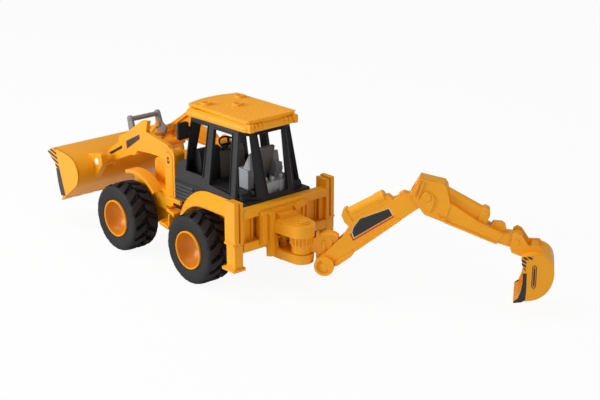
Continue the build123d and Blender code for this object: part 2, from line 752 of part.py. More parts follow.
for hand, sign in hands.items():
    with BuildPart() as panel:
        with BuildSketch(side(sign * rear_half)):
            with BuildLine():
                ThreePointArc(panel_low, panel_knee, panel_high)
                Polyline(panel_high, (panel_high[0], deck_z - 0.7), (panel_front, deck_z - 0.7),
                         (panel_front, panel_bottom), panel_low)
            make_face()
        extrude(amount=-sign * (panel_outer - rear_half))
        with BuildSketch(side(sign * rear_half)):
            with Locations((46.5, 63.0)):
                Rectangle(15.0, 18.0)
        extrude(amount=-sign * (panel_outer - rear_half - 1.2), mode=Mode.SUBTRACT)
        with BuildSketch(side(sign * panel_outer)):
            with Locations((46.5, 58.0)):
                with GridLocations(0, 2.6, 1, 5):
                    SlotOverall(14, 1.2)
        extrude(amount=sign * 0.7, mode=Mode.SUBTRACT)
    finish(panel, f"side_panel_{hand}")

step_wall = 1.8
tread_low = 33.2
tread_high = 47.6
step_front = 63.0
step_mid = 49.6
step_rear = 40.2


def tread_plate(first, last, wide_first, wide_last, sign, start):
    """Plan of one step tread with its slanting outer edge."""
    outline((first, sign * start), (last, sign * start), (last, sign * wide_last),
            (first, sign * wide_first))


for hand, sign in hands.items():
    with BuildPart() as steps:
        web = rear_half + 0.05
        slant = (fender_half - 41.5) / (step_front - step_rear)
        edge_mid = fender_half - slant * (step_mid - step_rear)
        with BuildSketch(level(tread_low)):
            tread_plate(step_mid - 2.6, step_front, edge_mid + 0.4, 41.5, sign, chassis_half + 0.02)
        extrude(amount=step_wall)
        with BuildSketch(level(tread_high)):
            tread_plate(step_rear, step_mid + 2, fender_half, edge_mid - 0.4, sign, web)
        extrude(amount=step_wall)
        # risers
        with BuildSketch(side(sign * web)):
            outline((step_mid - 2.6, tread_low), (step_mid - 0.8, tread_low), (step_mid + 0.6, tread_high + 0.5),
                    (step_mid - 1.4, tread_high + 0.5))
        extrude(amount=-sign * (edge_mid - web))
        with BuildSketch(side(sign * (panel_outer + 0.05))):
            outline((step_rear, tread_high), (step_rear + 1.8, tread_high), (step_rear + 1.8, 59.2),
                    (step_rear - 0.4, 60.2), (step_rear - 0.4, 58.4), (step_rear, 58.2))
        extrude(amount=-sign * (fender_half - 0.4 - panel_outer))
        # side web against the body
        with BuildSketch(side(sign * web)):
            outline((step_rear, tread_high), (step_mid - 2.6, tread_low), (step_front - 1, tread_low),
                    (step_front - 1, tread_low + 4), (step_mid + 4, tread_high), (step_mid + 4, 49.9),
                    (step_rear, 49.9))
        extrude(amount=-sign * 1.5)
        # raised rims along the outer edges of both treads
        with BuildSketch(level(tread_low + step_wall)):
            outline((step_mid + 0.4, sign * edge_mid), (step_front, sign * 41.5),
                    (step_front, sign * 40.3), (step_mid + 0.4, sign * (edge_mid - 1.2)))
            with Locations((step_front - 0.6, sign * 37.0)):
                Rectangle(1.2, 8.0)
            for x in (53.0, 56.0, 59.0):
                with Locations((x, sign * 37.4)):
                    Rectangle(0.9, 5.6)
        extrude(amount=1.0)
        with BuildSketch(level(tread_high + step_wall)):
            outline((step_rear + 1.8, sign * (fender_half - 0.4)), (step_mid + 2, sign * (edge_mid - 0.4)),
                    (step_mid + 2, sign * (edge_mid - 1.6)), (step_rear + 1.8, sign * (fender_half - 1.6)))
            for x in (44.4, 47.4, 50.4):
                with Locations((x, sign * 39.6)):
                    Rectangle(0.9, 6.0)
        extrude(amount=1.0)
    finish(steps, f"footstep_{hand}")

# ---- cab ---------------------------------------------------------------------------------

cab_low = deck_z - 0.7
cab_front = 48.6
pillar_top_x = 35.8
sill_front_z = 96.0
side_lean = (cab_half - cab_top_half) / (cab_top_z - cab_low)
header_top = roof_top - roof_rib - roof_bevel  # meets the inside of the roof


def cab_width(z, inset=0.0):
    """Half width of the tapered cab at height z."""
    return cab_half - side_lean * (z - cab_low) - inset


def cab_profile(inset):
    """Side outline of the cab, drawn in by the wall thickness."""
    outline((-cab_rear + inset, cab_low), (-cab_rear + 8.3 + inset, header_top),
            (pillar_top_x - inset, header_top), (pillar_top_x - inset, 134.0),
            (37.8 - inset, sill_front_z + 1), (cab_front - inset, sill_front_z - 3),
            (cab_front + 1 - inset, cab_low))


def cab_taper(inset):
    """Cross outline of the cab, drawn in by the wall thickness."""
    outline((-cab_width(cab_low, inset), cab_low), (cab_width(cab_low, inset), cab_low),
            (cab_width(header_top, inset), header_top), (-cab_width(header_top, inset), header_top))


with BuildPart() as cab_core:
    with BuildSketch(side()):
        cab_profile(cab_wall)
    extrude(amount=cab_half, both=True)
    with BuildSketch(cross(0)):
        cab_taper(cab_wall)
    extrude(amount=60, both=True, mode=Mode.INTERSECT)

door = ((34.4, 131.0), (12.3, 131.0), (12.6, 88.0), (35.4, 88.0), (35.4, 97.0))
rear_light = ((3.6, 130.4), (-20.0, 130.4), (-23.6, 81.0), (2.2, 83.0))
quarter = ((-25.4, 130.4), (-32.6, 130.4), (-38.6, 80.0), (-28.6, 80.0))

with BuildPart() as cab:
    with BuildSketch(side()):
        cab_profile(0)
    extrude(amount=cab_half, both=True)
    with BuildSketch(cross(0)):
        cab_taper(0)
    extrude(amount=60, both=True, mode=Mode.INTERSECT)
    # raised rims round the side windows
    for sign in hands.values():
        for window in (rear_light, door):
            with BuildSketch(side()):
                outline(*window)
                offset(amount=1.3, kind=Kind.INTERSECTION)
            extrude(amount=-sign * cab_half)
    with BuildSketch(cross(0)):
        cab_taper(-0.7)
    extrude(amount=60, both=True, mode=Mode.INTERSECT)
    add(cab_core.part, mode=Mode.SUBTRACT)
    for window in (door, rear_light, quarter):
        with BuildSketch(side()) as pane:
            outline(*window)
            fillet(pane.vertices(), 1.2)
        extrude(amount=cab_half + 2, both=True, mode=Mode.SUBTRACT)
    for at, low, high, reach in ((-50.0, 82.0, 131.0, 25.0), (60.0, 99.5, 131.5, -40.0)):
        with BuildSketch(cross(at)) as pane:
            outline((-cab_width(low, 5.0), low), (cab_width(low, 5.0), low),
                    (cab_width(high, 4.4), high), (-cab_width(high, 4.4), high))
            fillet(pane.vertices(), 1.6)
        extrude(amount=reach, mode=Mode.SUBTRACT)
finish(cab, "cab_frame")

# ---- roof --------------------------------------------------------------------------------

roof_plate = roof_top - roof_rib
roof_rear_half = roof_half - 1.6
roof_wall = 1.6
roof_bosses = [(26.0, 18.5), (26.0, -18.5), (6.6, 0.0)]
boss_bore = 2.0


def roof_plan(inset):
    """Plan of the roof, a little narrower at the rear."""
    outline((-roof_rear + inset, -roof_rear_half + inset), (roof_front - inset, -roof_half + inset),
            (roof_front - inset, roof_half - inset), (-roof_rear + inset, roof_rear_half - inset))


with BuildPart() as roof:
    with BuildSketch(level(roof_eave)) as plan:
        roof_plan(0)
        fillet(plan.vertices(), 6)
    extrude(amount=roof_plate - roof_eave)
    chamfer(roof.faces().sort_by(Axis.Z)[-1].edges(), roof_bevel)
    with BuildSketch(level(roof_eave)) as plan:
        roof_plan(roof_wall)
        fillet(plan.vertices(), 6 - roof_wall)
    extrude(amount=roof_plate - roof_eave - roof_bevel, mode=Mode.SUBTRACT)
    with BuildSketch(level(roof_plate - roof_bevel - 0.01)) as plan:
        roof_plan(roof_wall + roof_bevel - 0.6)
    extrude(amount=roof_bevel - roof_wall, mode=Mode.SUBTRACT)
    # lengthwise ribs and a border round them
    with BuildSketch(level(roof_plate)) as ribs:
        roof_plan(roof_bevel + 0.3)
        offset(amount=-1.4, kind=Kind.INTERSECTION, mode=Mode.SUBTRACT)
        with GridLocations(0, 2 * (roof_rear_half - roof_bevel - 2) / (roof_rib_count - 1), 1, roof_rib_count):
            with Locations(((roof_front - roof_rear) / 2, 0)):
                Rectangle(roof_front + roof_rear - 2 * roof_bevel - 2, 1.5)
    extrude(amount=roof_rib)
    with BuildSketch(level(roof_plate - 0.2)):
        with Locations(*roof_bosses):
            Circle(4.5)
    extrude(amount=roof_rib + 0.5)
    with BuildSketch(level(roof_plate - roof_bevel)):
        with Locations(*roof_bosses):
            Circle(boss_bore + 1.4)
    extrude(amount=roof_bevel)
    with BuildSketch(level(roof_eave)):
        with Locations(*roof_bosses):
            Circle(boss_bore)
    extrude(amount=roof_top, mode=Mode.SUBTRACT)
    # lamp recesses in the rear eave
    with BuildSketch(cross(-roof_rear, 0, roof_eave + 3.0)):
        with GridLocations(34, 0, 2, 1):
            RectangleRounded(9, 3.4, 1)
    extrude(amount=1.0, mode=Mode.SUBTRACT)
    with BuildSketch(cross(roof_front, 0, roof_eave + 3.0)):
        with GridLocations(36, 0, 2, 1):
            RectangleRounded(10, 3.4, 1)
    extrude(amount=-1.0, mode=Mode.SUBTRACT)
finish(roof, "cab_roof")

# ---- cab interior ------------------------------------------------------------------------

floor_top = cab_low + 1.6
floor_half = cab_width(floor_top, cab_wall + 0.05)
hump_top = 83.0

with BuildPart() as cab_floor:
    with BuildSketch(side()):
        outline((-cab_rear + cab_wall + 0.3, cab_low), (-cab_rear + cab_wall + 0.5, floor_top),
                (cab_front - cab_wall - 0.1, floor_top), (cab_front - cab_wall - 0.1, cab_low))
    extrude(amount=floor_half, both=True)
    for sign in hands.values():
        with BuildSketch(side(sign * 21.0)):
            outline((-39.0, floor_top - 0.5), (-38.0, hump_top - 2), (-36.0, hump_top), (8.0, hump_top),
                    (16.0, floor_top + 3), (18.0, floor_top - 0.5))
        extrude(amount=-sign * (cab_width(hump_top, cab_wall + 0.1) - 21.0))
    with BuildSketch(level(cab_low)):
        with Locations((-8.0, 0.0)):
            Circle(9.0)
    extrude(amount=5.0)
    fillet(cab_floor.faces().filter_by(GeomType.CYLINDER).edges().group_by(Axis.Z)[-1], 0.8)
finish(cab_floor, "cab_floor")

seat_low = cab_low + 5.0
with BuildPart() as seat:
    with BuildSketch(level(seat_low, -8)):
        Circle(4.5)
    extrude(amount=4.0)
    with BuildSketch(side()):
        with BuildLine():
            Polyline((4.0, seat_low + 8.0), (4.0, seat_low + 4.5), (1.5, seat_low + 3.0), (-17.0, seat_low + 3.0),
                     (-20.6, seat_low + 8.0), (-25.4, seat_low + 32.0), (-23.2, seat_low + 34.4),
                     (-20.0, seat_low + 33.4), (-15.0, seat_low + 10.6))
            Spline((-15.0, seat_low + 10.6), (-7.0, seat_low + 8.6), (4.0, seat_low + 8.0))
        make_face()
    extrude(amount=11.0, both=True)
    fillet(seat.faces().sort_by(Axis.X)[-1].edges().filter_by(Axis.Y), 1.0)
    # side bolsters and arm rests
    for sign in hands.values():
        with BuildSketch(side(sign * 9.0)):
            outline((-22.2, seat_low + 28.0), (-20.0, seat_low + 27.4), (-14.0, seat_low + 12.0),
                    (2.0, seat_low + 10.0), (2.0, seat_low + 6.0), (-17.0, seat_low + 6.0))
        extrude(amount=-sign * 2.0)
        with BuildSketch(side(sign * 11.0)):
            with Locations((-9.0, seat_low + 16.5)):
                SlotOverall(17, 3.0)
        extrude(amount=-sign * 3.0)
finish(seat, "seat")

column_tilt = 25.0
with BuildPart() as steering:
    with BuildSketch(side()):
        outline((39.0, floor_top), (26.0, floor_top), (22.6, 94.5), (25.6, 96.0), (40.0, 88.0))
    extrude(amount=5.0, both=True)
    chamfer(steering.edges().filter_by(Axis.Y).group_by(Axis.Z)[-1], 0.8)
    wheel_plane = Plane(origin=(machine_x + 23.4, machine_y, 95.2), x_dir=(0, 1, 0),
                        z_dir=(-sin(radians(column_tilt)), 0, cos(radians(column_tilt))))
    with BuildSketch(wheel_plane.offset(-2.0)):
        Circle(1.6)
    extrude(amount=6.4)
    with BuildSketch(wheel_plane.offset(3.0)):
        Circle(8.0)
        Circle(6.4, mode=Mode.SUBTRACT)
        with PolarLocations(4.0, 3, start_angle=90):
            Rectangle(5.6, 1.4)
    extrude(amount=1.6)
finish(steering, "steering_wheel")

with BuildPart() as console:
    with BuildSketch(side()):
        outline((-39.0, floor_top), (-29.0, floor_top), (-30.5, 90.0), (-33.0, 92.6), (-37.4, 92.6))
    extrude(amount=13.0, both=True)
    for y in (-8.0, 0.0, 8.0):
        with BuildSketch(level(92.0, -35.2, y)):
            Circle(0.9)
        extrude(amount=5.4)
        with BuildSketch(side(y - 1.8)):
            with Locations((-35.2, 98.0)):
                Circle(1.8)
        extrude(amount=-3.6)
finish(console, "lever_console")

# ---- door mirrors ------------------------------------------------------------------------

for hand, sign in hands.items():
    with BuildPart() as mirror:
        with BuildSketch(cross(35.6, sign * 36.4, 123.5)):
            RectangleRounded(11.5, 15.0, 2.0)
        extrude(amount=2.6)
        with BuildSketch(cross(35.6, sign * 36.4, 123.5)):
            RectangleRounded(9.5, 13.0, 1.4)
        extrude(amount=0.7, mode=Mode.SUBTRACT)
        with BuildSketch(cross(35.85)):
            outline((sign * (cab_width(126.0) + 0.02), 126.0), (sign * 32.5, 124.8), (sign * 32.5, 122.2),
                    (sign * (cab_width(121.0) + 0.02), 121.0))
        extrude(amount=1.8)
    finish(mirror, f"mirror_{hand}")

# ---- rear frame --------------------------------------------------------------------------

frame_front = chassis_rear + 0.02
groove_front = frame_rear - beam_depth - slot_wide
stop_reach = 4.5  # how far each stop block reaches into the slide groove
window_mid = (window_top + window_bottom) / 2
window_high = window_top - window_bottom

with BuildPart() as frame:
    with BuildSketch(side()):
        outline((-frame_front, frame_bottom), (-frame_front, beam_top), (-frame_rear + 1.2, beam_top),
                (-frame_rear, beam_top - 1.2), (-frame_rear, window_top),
                (-frame_rear + beam_depth, window_top), (-frame_rear + beam_depth, window_top + groove_depth),
                (-groove_front, window_top + groove_depth), (-groove_front, window_bottom - groove_depth),
                (-frame_rear + beam_depth, window_bottom - groove_depth),
                (-frame_rear + beam_depth, window_bottom), (-frame_rear, window_bottom),
                (-frame_rear, frame_bottom))
    extrude(amount=sleeve_inner, both=True)
    # openings in the wall behind the slide, with ribs left standing between them
    with BuildSketch(cross(-frame_front + 1, 0, window_mid)):
        with GridLocations(21.0, 0, 3, 1):
            Rectangle(19.0, window_high - 1)
        with GridLocations(76.4, 0, 2, 1):
            Rectangle(11.0, window_high - 1)
    extrude(amount=-(groove_front - frame_front + 2), mode=Mode.SUBTRACT)
finish(frame, "rear_frame")

sleeve_mid = (sleeve_inner + sleeve_outer) / 2
sleeve_wide = sleeve_outer - sleeve_inner
sleeve_long = frame_rear - sleeve_front
sleeve_x = -(frame_rear + sleeve_front) / 2
flute_inner = sleeve_inner + 3.3  # flute between the inboard plate and the box of each sleeve
flute_wide = 2.0
flute_deep = 2.4
flute_mid = flute_inner + flute_wide / 2
bore_long = sleeve_long - flute_deep - 1.5 - wall
bore_x = -(sleeve_front + wall + bore_long / 2)
bore_top = 78.5
leg_wide = sleeve_wide - 2 * wall - 2 * running
leg_long = bore_long - 2 * running

for hand, sign in hands.items():
    with BuildPart() as sleeve:
        with BuildSketch(level(sleeve_bottom, sleeve_x, sign * sleeve_mid)):
            RectangleRounded(sleeve_long, sleeve_wide, 1.0)
        extrude(amount=sleeve_top - sleeve_bottom)
        # the inboard plate ends a little lower than the box
        with BuildSketch(level(plate_top, sleeve_x, sign * (flute_inner - 1))):
            Rectangle(sleeve_long + 2, 2 * (flute_wide + 1))
        extrude(amount=4, mode=Mode.SUBTRACT)
        with BuildSketch(level(sleeve_bottom + 1.6, -frame_rear, sign * flute_mid)):
            Rectangle(2 * flute_deep, flute_wide)
        extrude(amount=sleeve_top, mode=Mode.SUBTRACT)
        with BuildSketch(level(plate_top - 3.6, sleeve_x, sign * flute_mid)):
            Rectangle(sleeve_long + 2, flute_wide)
        extrude(amount=6, mode=Mode.SUBTRACT)
        chamfer(sleeve.faces().sort_by(Axis.Z)[-1].edges(), 0.5)
        # ledge along the foot of the box
        with BuildSketch(level(sleeve_bottom, sleeve_x, sign * (sleeve_outer + 0.2))):
            Rectangle(sleeve_long - 1.6, 1.8)
        extrude(amount=1.5)
        # stop block that closes the end of the slide groove
        with BuildSketch(cross(-groove_front - 0.1, sign * (sleeve_inner - stop_reach / 2), window_mid)):
            Rectangle(stop_reach + 0.2, window_high + 2 * groove_depth - 0.2)
        extrude(amount=-(slot_wide - 0.2))
        with BuildSketch(level(sleeve_bottom - 1, bore_x, sign * sleeve_mid)):
            Rectangle(bore_long, sleeve_wide - 2 * wall)
        extrude(amount=bore_top - sleeve_bottom + 1, mode=Mode.SUBTRACT)
    finish(sleeve, f"stabiliser_sleeve_{hand}")
    with BuildPart() as leg:
        with BuildSketch(level(leg_foot_z + 1, bore_x, sign * sleeve_mid)):
            RectangleRounded(leg_long, leg_wide, 0.6)
        extrude(amount=bore_top - 0.5 - leg_foot_z - 1)
        # broad lower box that meets the sleeve, and the foot
        with BuildSketch(level(leg_foot_z + 2, -49.75, sign * (sleeve_mid + 0.2))):
            RectangleRounded(11.4, sleeve_wide - 0.7, 0.8)
        extrude(amount=sleeve_bottom - running - leg_foot_z - 2)
        with BuildSketch(level(leg_foot_z, -48.4, sign * (sleeve_mid + 0.4))):
            RectangleRounded(17.2, 13.1, 1.6)
        extrude(amount=2.4)
        chamfer(leg.faces().sort_by(Axis.Z)[0].edges(), 0.5)
        with BuildSketch(level(leg_foot_z + 2.4, -49.0, sign * (sleeve_mid + 0.3))):
            RectangleRounded(14.0, 10.6, 1.2)
        extrude(amount=0.9)
    finish(leg, f"stabiliser_leg_{hand}")

# ---- carriage and swing bracket ----------------------------------------------------------

carriage_front = frame_rear + running
carriage_back = 57.3  # rear face of the carriage's plate
carriage_low = 42.9
carriage_high = 72.4
bracket_half = 13.8
lower_half = 11.2
lower_flare = 5.0  # degrees the lower arm widens upwards
pin_top = 66.0

with BuildPart() as carriage:
    with BuildSketch(cross(-carriage_front, carriage_mid, (carriage_low + carriage_high) / 2)):
        RectangleRounded(2 * carriage_half, carriage_high - carriage_low, 1.6)
    extrude(amount=-(carriage_back - carriage_front))
    # padded upright strips at the left end, narrow posts at the right end
    for y, wide, low, high, reach in ((26.1, 6.8, 43.4, 72.2, 59.2), (18.9, 6.9, 31.2, 70.8, 61.4),
                                      (-21.0, 3.2, 43.4, 70.4, 59.4), (-16.6, 3.2, 43.4, 70.4, 59.4)):
        with BuildSketch(cross(-carriage_front - 0.2, y, (low + high) / 2)):
            RectangleRounded(wide, high - low, 1.5)
        extrude(amount=-(reach - carriage_front - 0.2), taper=14)
    # tongue through the window and the flange that runs behind the beams
    with BuildSketch(cross(-carriage_front, carriage_mid, window_mid)):
        Rectangle(2 * carriage_half - 4, window_high - 2 * running)
    extrude(amount=frame_rear - groove_front)
    with BuildSketch(cross(-groove_front - running, carriage_mid, window_mid)):
        Rectangle(2 * carriage_half - 4, window_high + 2 * groove_depth - 2 * running)
    extrude(amount=-(slot_wide - 2 * running))
    # hollow the tongue from its front face
    with BuildSketch(cross(-groove_front - running, carriage_mid, window_mid)):
        with GridLocations(15.6, 0, 3, 1):
            Rectangle(13.6, window_high - 4)
    extrude(amount=-(beam_depth + 1.2), mode=Mode.SUBTRACT)
    # pocket, ledge and post between the two bracket arms
    with BuildSketch(cross(-carriage_back, 12.4, 48.6)):
        Rectangle(5.0, 8.0)
    extrude(amount=1.0, mode=Mode.SUBTRACT)
    with BuildSketch(level(47.2, -carriage_back - 1.6, 12.0)):
        Rectangle(3.4, 7.6)
    extrude(amount=1.4)
    with BuildSketch(level(bracket_lower_top - 0.5, -carriage_back - 2.4, 6.4)):
        RectangleRounded(5.2, 3.4, 0.6)
    extrude(amount=bracket_upper_bottom - bracket_lower_top + 1)
    # upper bracket arm with its round boss
    with BuildSketch(level(bracket_upper_bottom, -swing_back, side_shift)):
        Circle(bracket_end_radius)
        outline((0, -bracket_end_radius), (swing_back - carriage_back + 0.5, -bracket_half),
                (swing_back - carriage_back + 0.5, bracket_half), (0, bracket_end_radius))
    extrude(amount=bracket_upper_top - bracket_upper_bottom)
    with BuildSketch(level(bracket_upper_top, -swing_back, side_shift)):
        Circle(7.0)
    extrude(amount=0.9)
    # box across the root of the upper arm
    with BuildSketch(level(bracket_upper_top - 1, -60.6, side_shift - 0.8)):
        RectangleRounded(7.4, 17.6, 0.8)
    extrude(amount=5.0, taper=4)
    # catch: a short slanting bar on the top edge
    with BuildSketch(cross(-carriage_front)):
        outline((-15.7, 73.4), (-5.8, 70.4), (-7.0, 67.2), (-9.4, 67.0), (-19.4, 69.8), (-20.4, 72.6))
    extrude(amount=-4.6)
    # lower bracket arm, flared upwards, with a gusset on each side
    with BuildSketch(level(bracket_lower_bottom, -swing_back, side_shift)):
        Circle(drum_radius)
        outline((0, -drum_radius), (swing_back - carriage_front - 0.6, -lower_half),
                (swing_back - carriage_front - 0.6, lower_half), (0, drum_radius))
    extrude(amount=bracket_lower_top - bracket_lower_bottom, taper=-lower_flare)
    for sign in hands.values():
        with BuildSketch(side(side_shift + sign * lower_half)):
            outline((-carriage_front - 0.05, bracket_lower_bottom), (-carriage_front - 0.05, carriage_low + 8),
                    (-carriage_back - 3.6, carriage_low + 8), (-carriage_back - 5.6, bracket_lower_top + 1.2),
                    (-carriage_back - 11.0, bracket_lower_top), (-carriage_back - 11.0, bracket_lower_bottom))
        extrude(amount=sign * 2.0)
    with BuildSketch(level(bracket_lower_bottom, -swing_back, side_shift)):
        outline((7.0, -6.6), (swing_back - carriage_front - 2.2, -7.6),
                (swing_back - carriage_front - 2.2, 7.6), (7.0, 6.6))
    extrude(amount=bracket_lower_top - bracket_lower_bottom - wall, mode=Mode.SUBTRACT)
    # bore for the swing pin
    with BuildSketch(level(bracket_lower_bottom - 1, -swing_back, side_shift)):
        Circle(swing_pin_radius + seat_play)
    extrude(amount=40, mode=Mode.SUBTRACT)
finish(carriage, "carriage")

with BuildPart() as swing_pin:
    with BuildSketch(level(bracket_lower_bottom, -swing_back, side_shift)):
        Circle(swing_pin_radius)
    extrude(amount=pin_top - bracket_lower_bottom)
    # head with a raised key on one side
    with BuildSketch(level(bracket_upper_top + 0.95, -swing_back, side_shift)):
        Circle(5.2)
    extrude(amount=pin_top - bracket_upper_top - 0.95)
    fillet(swing_pin.edges().group_by(Axis.Z)[-1], 0.4)
    with BuildSketch(level(pin_top - 0.4, -swing_back + 0.6, side_shift + 4.2)):
        Circle(1.2)
    extrude(amount=0.9)
finish(swing_pin, "swing_pin")

# ---- swing post --------------------------------------------------------------------------

post_low = bracket_lower_top + running
post_high = bracket_upper_bottom - running
drum_low = 46.3
web_half = 2.1
post_half = 2.95  # over the raised ribs
tooth_depth = 1.3
tooth_pitch = 2 * pi * drum_radius / tooth_count
foot_pin_radius = 2.5

with BuildPart() as post:
    with BuildSketch(level(post_low, -swing_back, side_shift)):
        Circle(post_radius)
    extrude(amount=post_high - post_low)
    with BuildSketch(level(drum_low, -swing_back, side_shift)):
        Circle(drum_radius - tooth_depth)
        with PolarLocations(drum_radius - tooth_depth - 0.2, tooth_count):
            Trapezoid(0.62 * tooth_pitch, tooth_depth + 0.2, 76, align=(Align.CENTER, Align.MIN), rotation=-90)
    extrude(amount=post_high - drum_low)
    # web out to the boom foot, with a half-round head
    with BuildSketch(arm_plane(0, 0)):
        with BuildLine():
            ThreePointArc((31.2, 55.0), (23.6, 58.1), (16.2, 55.2))
            Polyline((16.2, 55.2), (14.6, 55.2), (14.6, 57.0), (12.6, 57.0), (12.6, 52.4), (4.0, 51.0),
                     (4.0, post_low + 0.6), (12.2, post_low + 0.6), (13.0, 31.0), (boom_foot_u, boom_foot_z - 7.0),
                     (boom_foot_u + 7.0, boom_foot_z), (boom_foot_u + 8.6, 40.0), (31.2, 45.0), (31.2, 55.0))
        make_face()
    extrude(amount=web_half, both=True)
    with BuildSketch(arm_plane(0, 0)):
        with Locations((boom_foot_u, boom_foot_z)):
            Circle(7.2)
        # raised rim under the head and two upright ribs
        with BuildLine() as rim_line:
            ThreePointArc((31.2, 55.0), (23.6, 58.1), (16.2, 55.2))
            Line((16.2, 55.2), (16.6, 52.6))
            ThreePointArc((16.6, 52.6), (23.6, 55.6), (31.2, 52.2))
            Line((31.2, 52.2), (31.2, 55.0))
        make_face(rim_line.edges())
        with Locations((19.0, 46.3)):
            RectangleRounded(2.0, 8.6, 0.8)
        with Locations((24.9, 46.8)):
            RectangleRounded(2.0, 9.4, 0.8)
    extrude(amount=post_half, both=True)
    with BuildSketch(level(bracket_lower_bottom, -swing_back, side_shift)):
        Circle(swing_pin_radius + pin_play)
    extrude(amount=30, mode=Mode.SUBTRACT)
    with BuildSketch(arm_plane(boom_foot_u, boom_foot_z)):
        Circle(foot_pin_radius + seat_play)
    extrude(amount=10, both=True, mode=Mode.SUBTRACT)
finish(post, "swing_post")

with BuildPart() as foot_pin:
    with BuildSketch(arm_plane(boom_foot_u, boom_foot_z)):
        Circle(foot_pin_radius)
    extrude(amount=boom_foot_half - 0.1, both=True)
finish(foot_pin, "boom_foot_pin")

# ---- boom --------------------------------------------------------------------------------

boom_side = (
    (-1.0, 8.3), (7.0, 8.3), (29.4, 11.6), (37.5, 14.8), (43.5, 17.2), (48.6, 18.0), (77.0, 12.8), (81.0, 13.0),
    (94.8, 9.4), (boom_length, 7.4), (boom_length + 4.0, 5.6), (boom_length + 4.0, -5.6),
    (boom_length, -6.6), (94.0, -4.6), (79.8, -4.4), (27.0, -4.9), (6.0, -6.0), (0.0, -8.3))
cheek_gap = post_half + running
elbow_radius = 3.6
boom_clear = 29.4  # the inside of the boom starts this far from the foot pin

with BuildPart() as boom:
    with BuildSketch(boom_plane()):
        outline(*boom_side)
        with Locations((boom_length, 0)):
            Circle(7.4)
    extrude(amount=boom_half, both=True)
    # round bosses at the foot
    with BuildSketch(boom_plane()):
        Circle(foot_radius)
    extrude(amount=boom_foot_half, both=True)
    with BuildSketch(boom_plane()):
        outline((-14, -12), (-14, 32), (boom_clear * cos(radians(62)), boom_clear * sin(radians(62))),
                (boom_clear * cos(radians(30)), boom_clear * sin(radians(30))),
                (boom_clear, 0), (boom_clear * cos(radians(-24)), boom_clear * sin(radians(-24))))
        Circle(boom_clear)
    extrude(amount=cheek_gap, both=True, mode=Mode.SUBTRACT)
    # hollow inside, open underneath
    with BuildSketch(boom_plane()):
        outline((38.0, -3.0), (38.0, 12.8), (48.0, 16.0), (76.8, 10.8), (80.8, 11.0),
                (90.6, 8.4), (90.6, -6.0), (38.0, -6.0))
    extrude(amount=boom_half - boom_wall, both=True, mode=Mode.SUBTRACT)
    with BuildSketch(boom_plane()):
        with Locations((52.0, 4.0), (66.0, 4.0), (80.0, 3.0)):
            Rectangle(1.4, 16.0)
    extrude(amount=boom_half - boom_wall + 0.05, both=True)
    # flange along the lower edge and the deeper block at its foot end
    for points in (((30.0, -4.9), (76.0, -4.45), (76.0, -2.65), (30.0, -2.9)),
                   ((8.2, -2.7), (27.4, -2.9), (27.4, -5.0), (24.0, -6.4), (8.2, -6.4))):
        for sign in hands.values():
            with BuildSketch(boom_plane(sign * (boom_half - 1.0))):
                outline(*points)
            extrude(amount=sign * 2.4)
    # block on the top edge, just before the elbow
    with BuildSketch(boom_plane()):
        outline((82.4, 11.6), (85.4, 12.0), (87.0, 13.8), (91.4, 13.2), (94.6, 9.0), (88.0, 9.0))
    extrude(amount=3.6, both=True)
    with BuildSketch(boom_plane()):
        Circle(foot_pin_radius + pin_play)
        with Locations((boom_length, 0)):
            Circle(elbow_radius + seat_play)
    extrude(amount=boom_foot_half + 1, both=True, mode=Mode.SUBTRACT)
    # half-moon recess round the foot pin
    for sign in hands.values():
        with BuildSketch(boom_plane(sign * boom_foot_half)):
            Circle(6.2)
            with Locations((5.0, 0)):
                Rectangle(8.0, 14.0, mode=Mode.SUBTRACT)
            Circle(foot_pin_radius + 0.9, mode=Mode.SUBTRACT)
        extrude(amount=-sign * 1.3, mode=Mode.SUBTRACT)
finish(boom, "boom")


def across(plane, slope):
    """Plane square to a line that rises by slope degrees in an upright plane."""
    a = radians(slope)
    return Plane(origin=plane.origin, x_dir=plane.z_dir, z_dir=plane.x_dir * cos(a) + plane.y_dir * sin(a))


with BuildPart() as boom_cover:
    # round barrel and collar of the moulded cylinder, filled down to the boom
    barrel = across(boom_plane(0, 41.0, 23.6), -7.5)
    with BuildSketch(barrel.offset(27.6)):
        Circle(5.3)
    extrude(amount=8.6)
    chamfer(boom_cover.edges().filter_by(GeomType.CIRCLE), 0.6)
    with BuildSketch(barrel):
        Circle(4.8)
    extrude(amount=30.0)
    with BuildSketch(boom_plane()):
        outline((41.0, 16.0), (41.6, 23.6), (75.6, 19.2), (79.4, 17.8), (80.6, 12.8), (76.0, 12.0))
    extrude(amount=4.6, both=True)
    # hooked strap round the left end
    with BuildSketch(boom_plane()) as strap:
        outline((37.4, 14.0), (36.6, 21.0), (38.2, 26.6), (41.2, 29.0), (44.4, 28.6), (43.2, 24.0), (42.6, 14.0))
        fillet(strap.vertices().group_by(Axis.Z)[-1], 0.8)
    extrude(amount=5.0, both=True)
    with BuildSketch(boom_plane()):
        outline(*boom_side)
    extrude(amount=boom_half + 3, both=True, mode=Mode.SUBTRACT)
finish(boom_cover, "boom_cylinder")

with BuildPart() as elbow_pin:
    with BuildSketch(boom_plane(0, boom_length)):
        Circle(elbow_radius)
    extrude(amount=dipper_half + 2.0, both=True)
    chamfer(elbow_pin.edges().filter_by(GeomType.CIRCLE), 0.4)
finish(elbow_pin, "elbow_pin")

# ---- dipper ------------------------------------------------------------------------------

dipper_side = (
    (-13.4, -4.9), (-2.7, -10.8), (4.8, -14.8), (20.0, -13.4), (67.3, -9.6), (68.3, 0.4), (44.4, 0.3),
    (18.9, 3.9), (10.6, 14.4), (7.4, 16.2), (-12.4, 11.4))
wrist_radius = 2.5

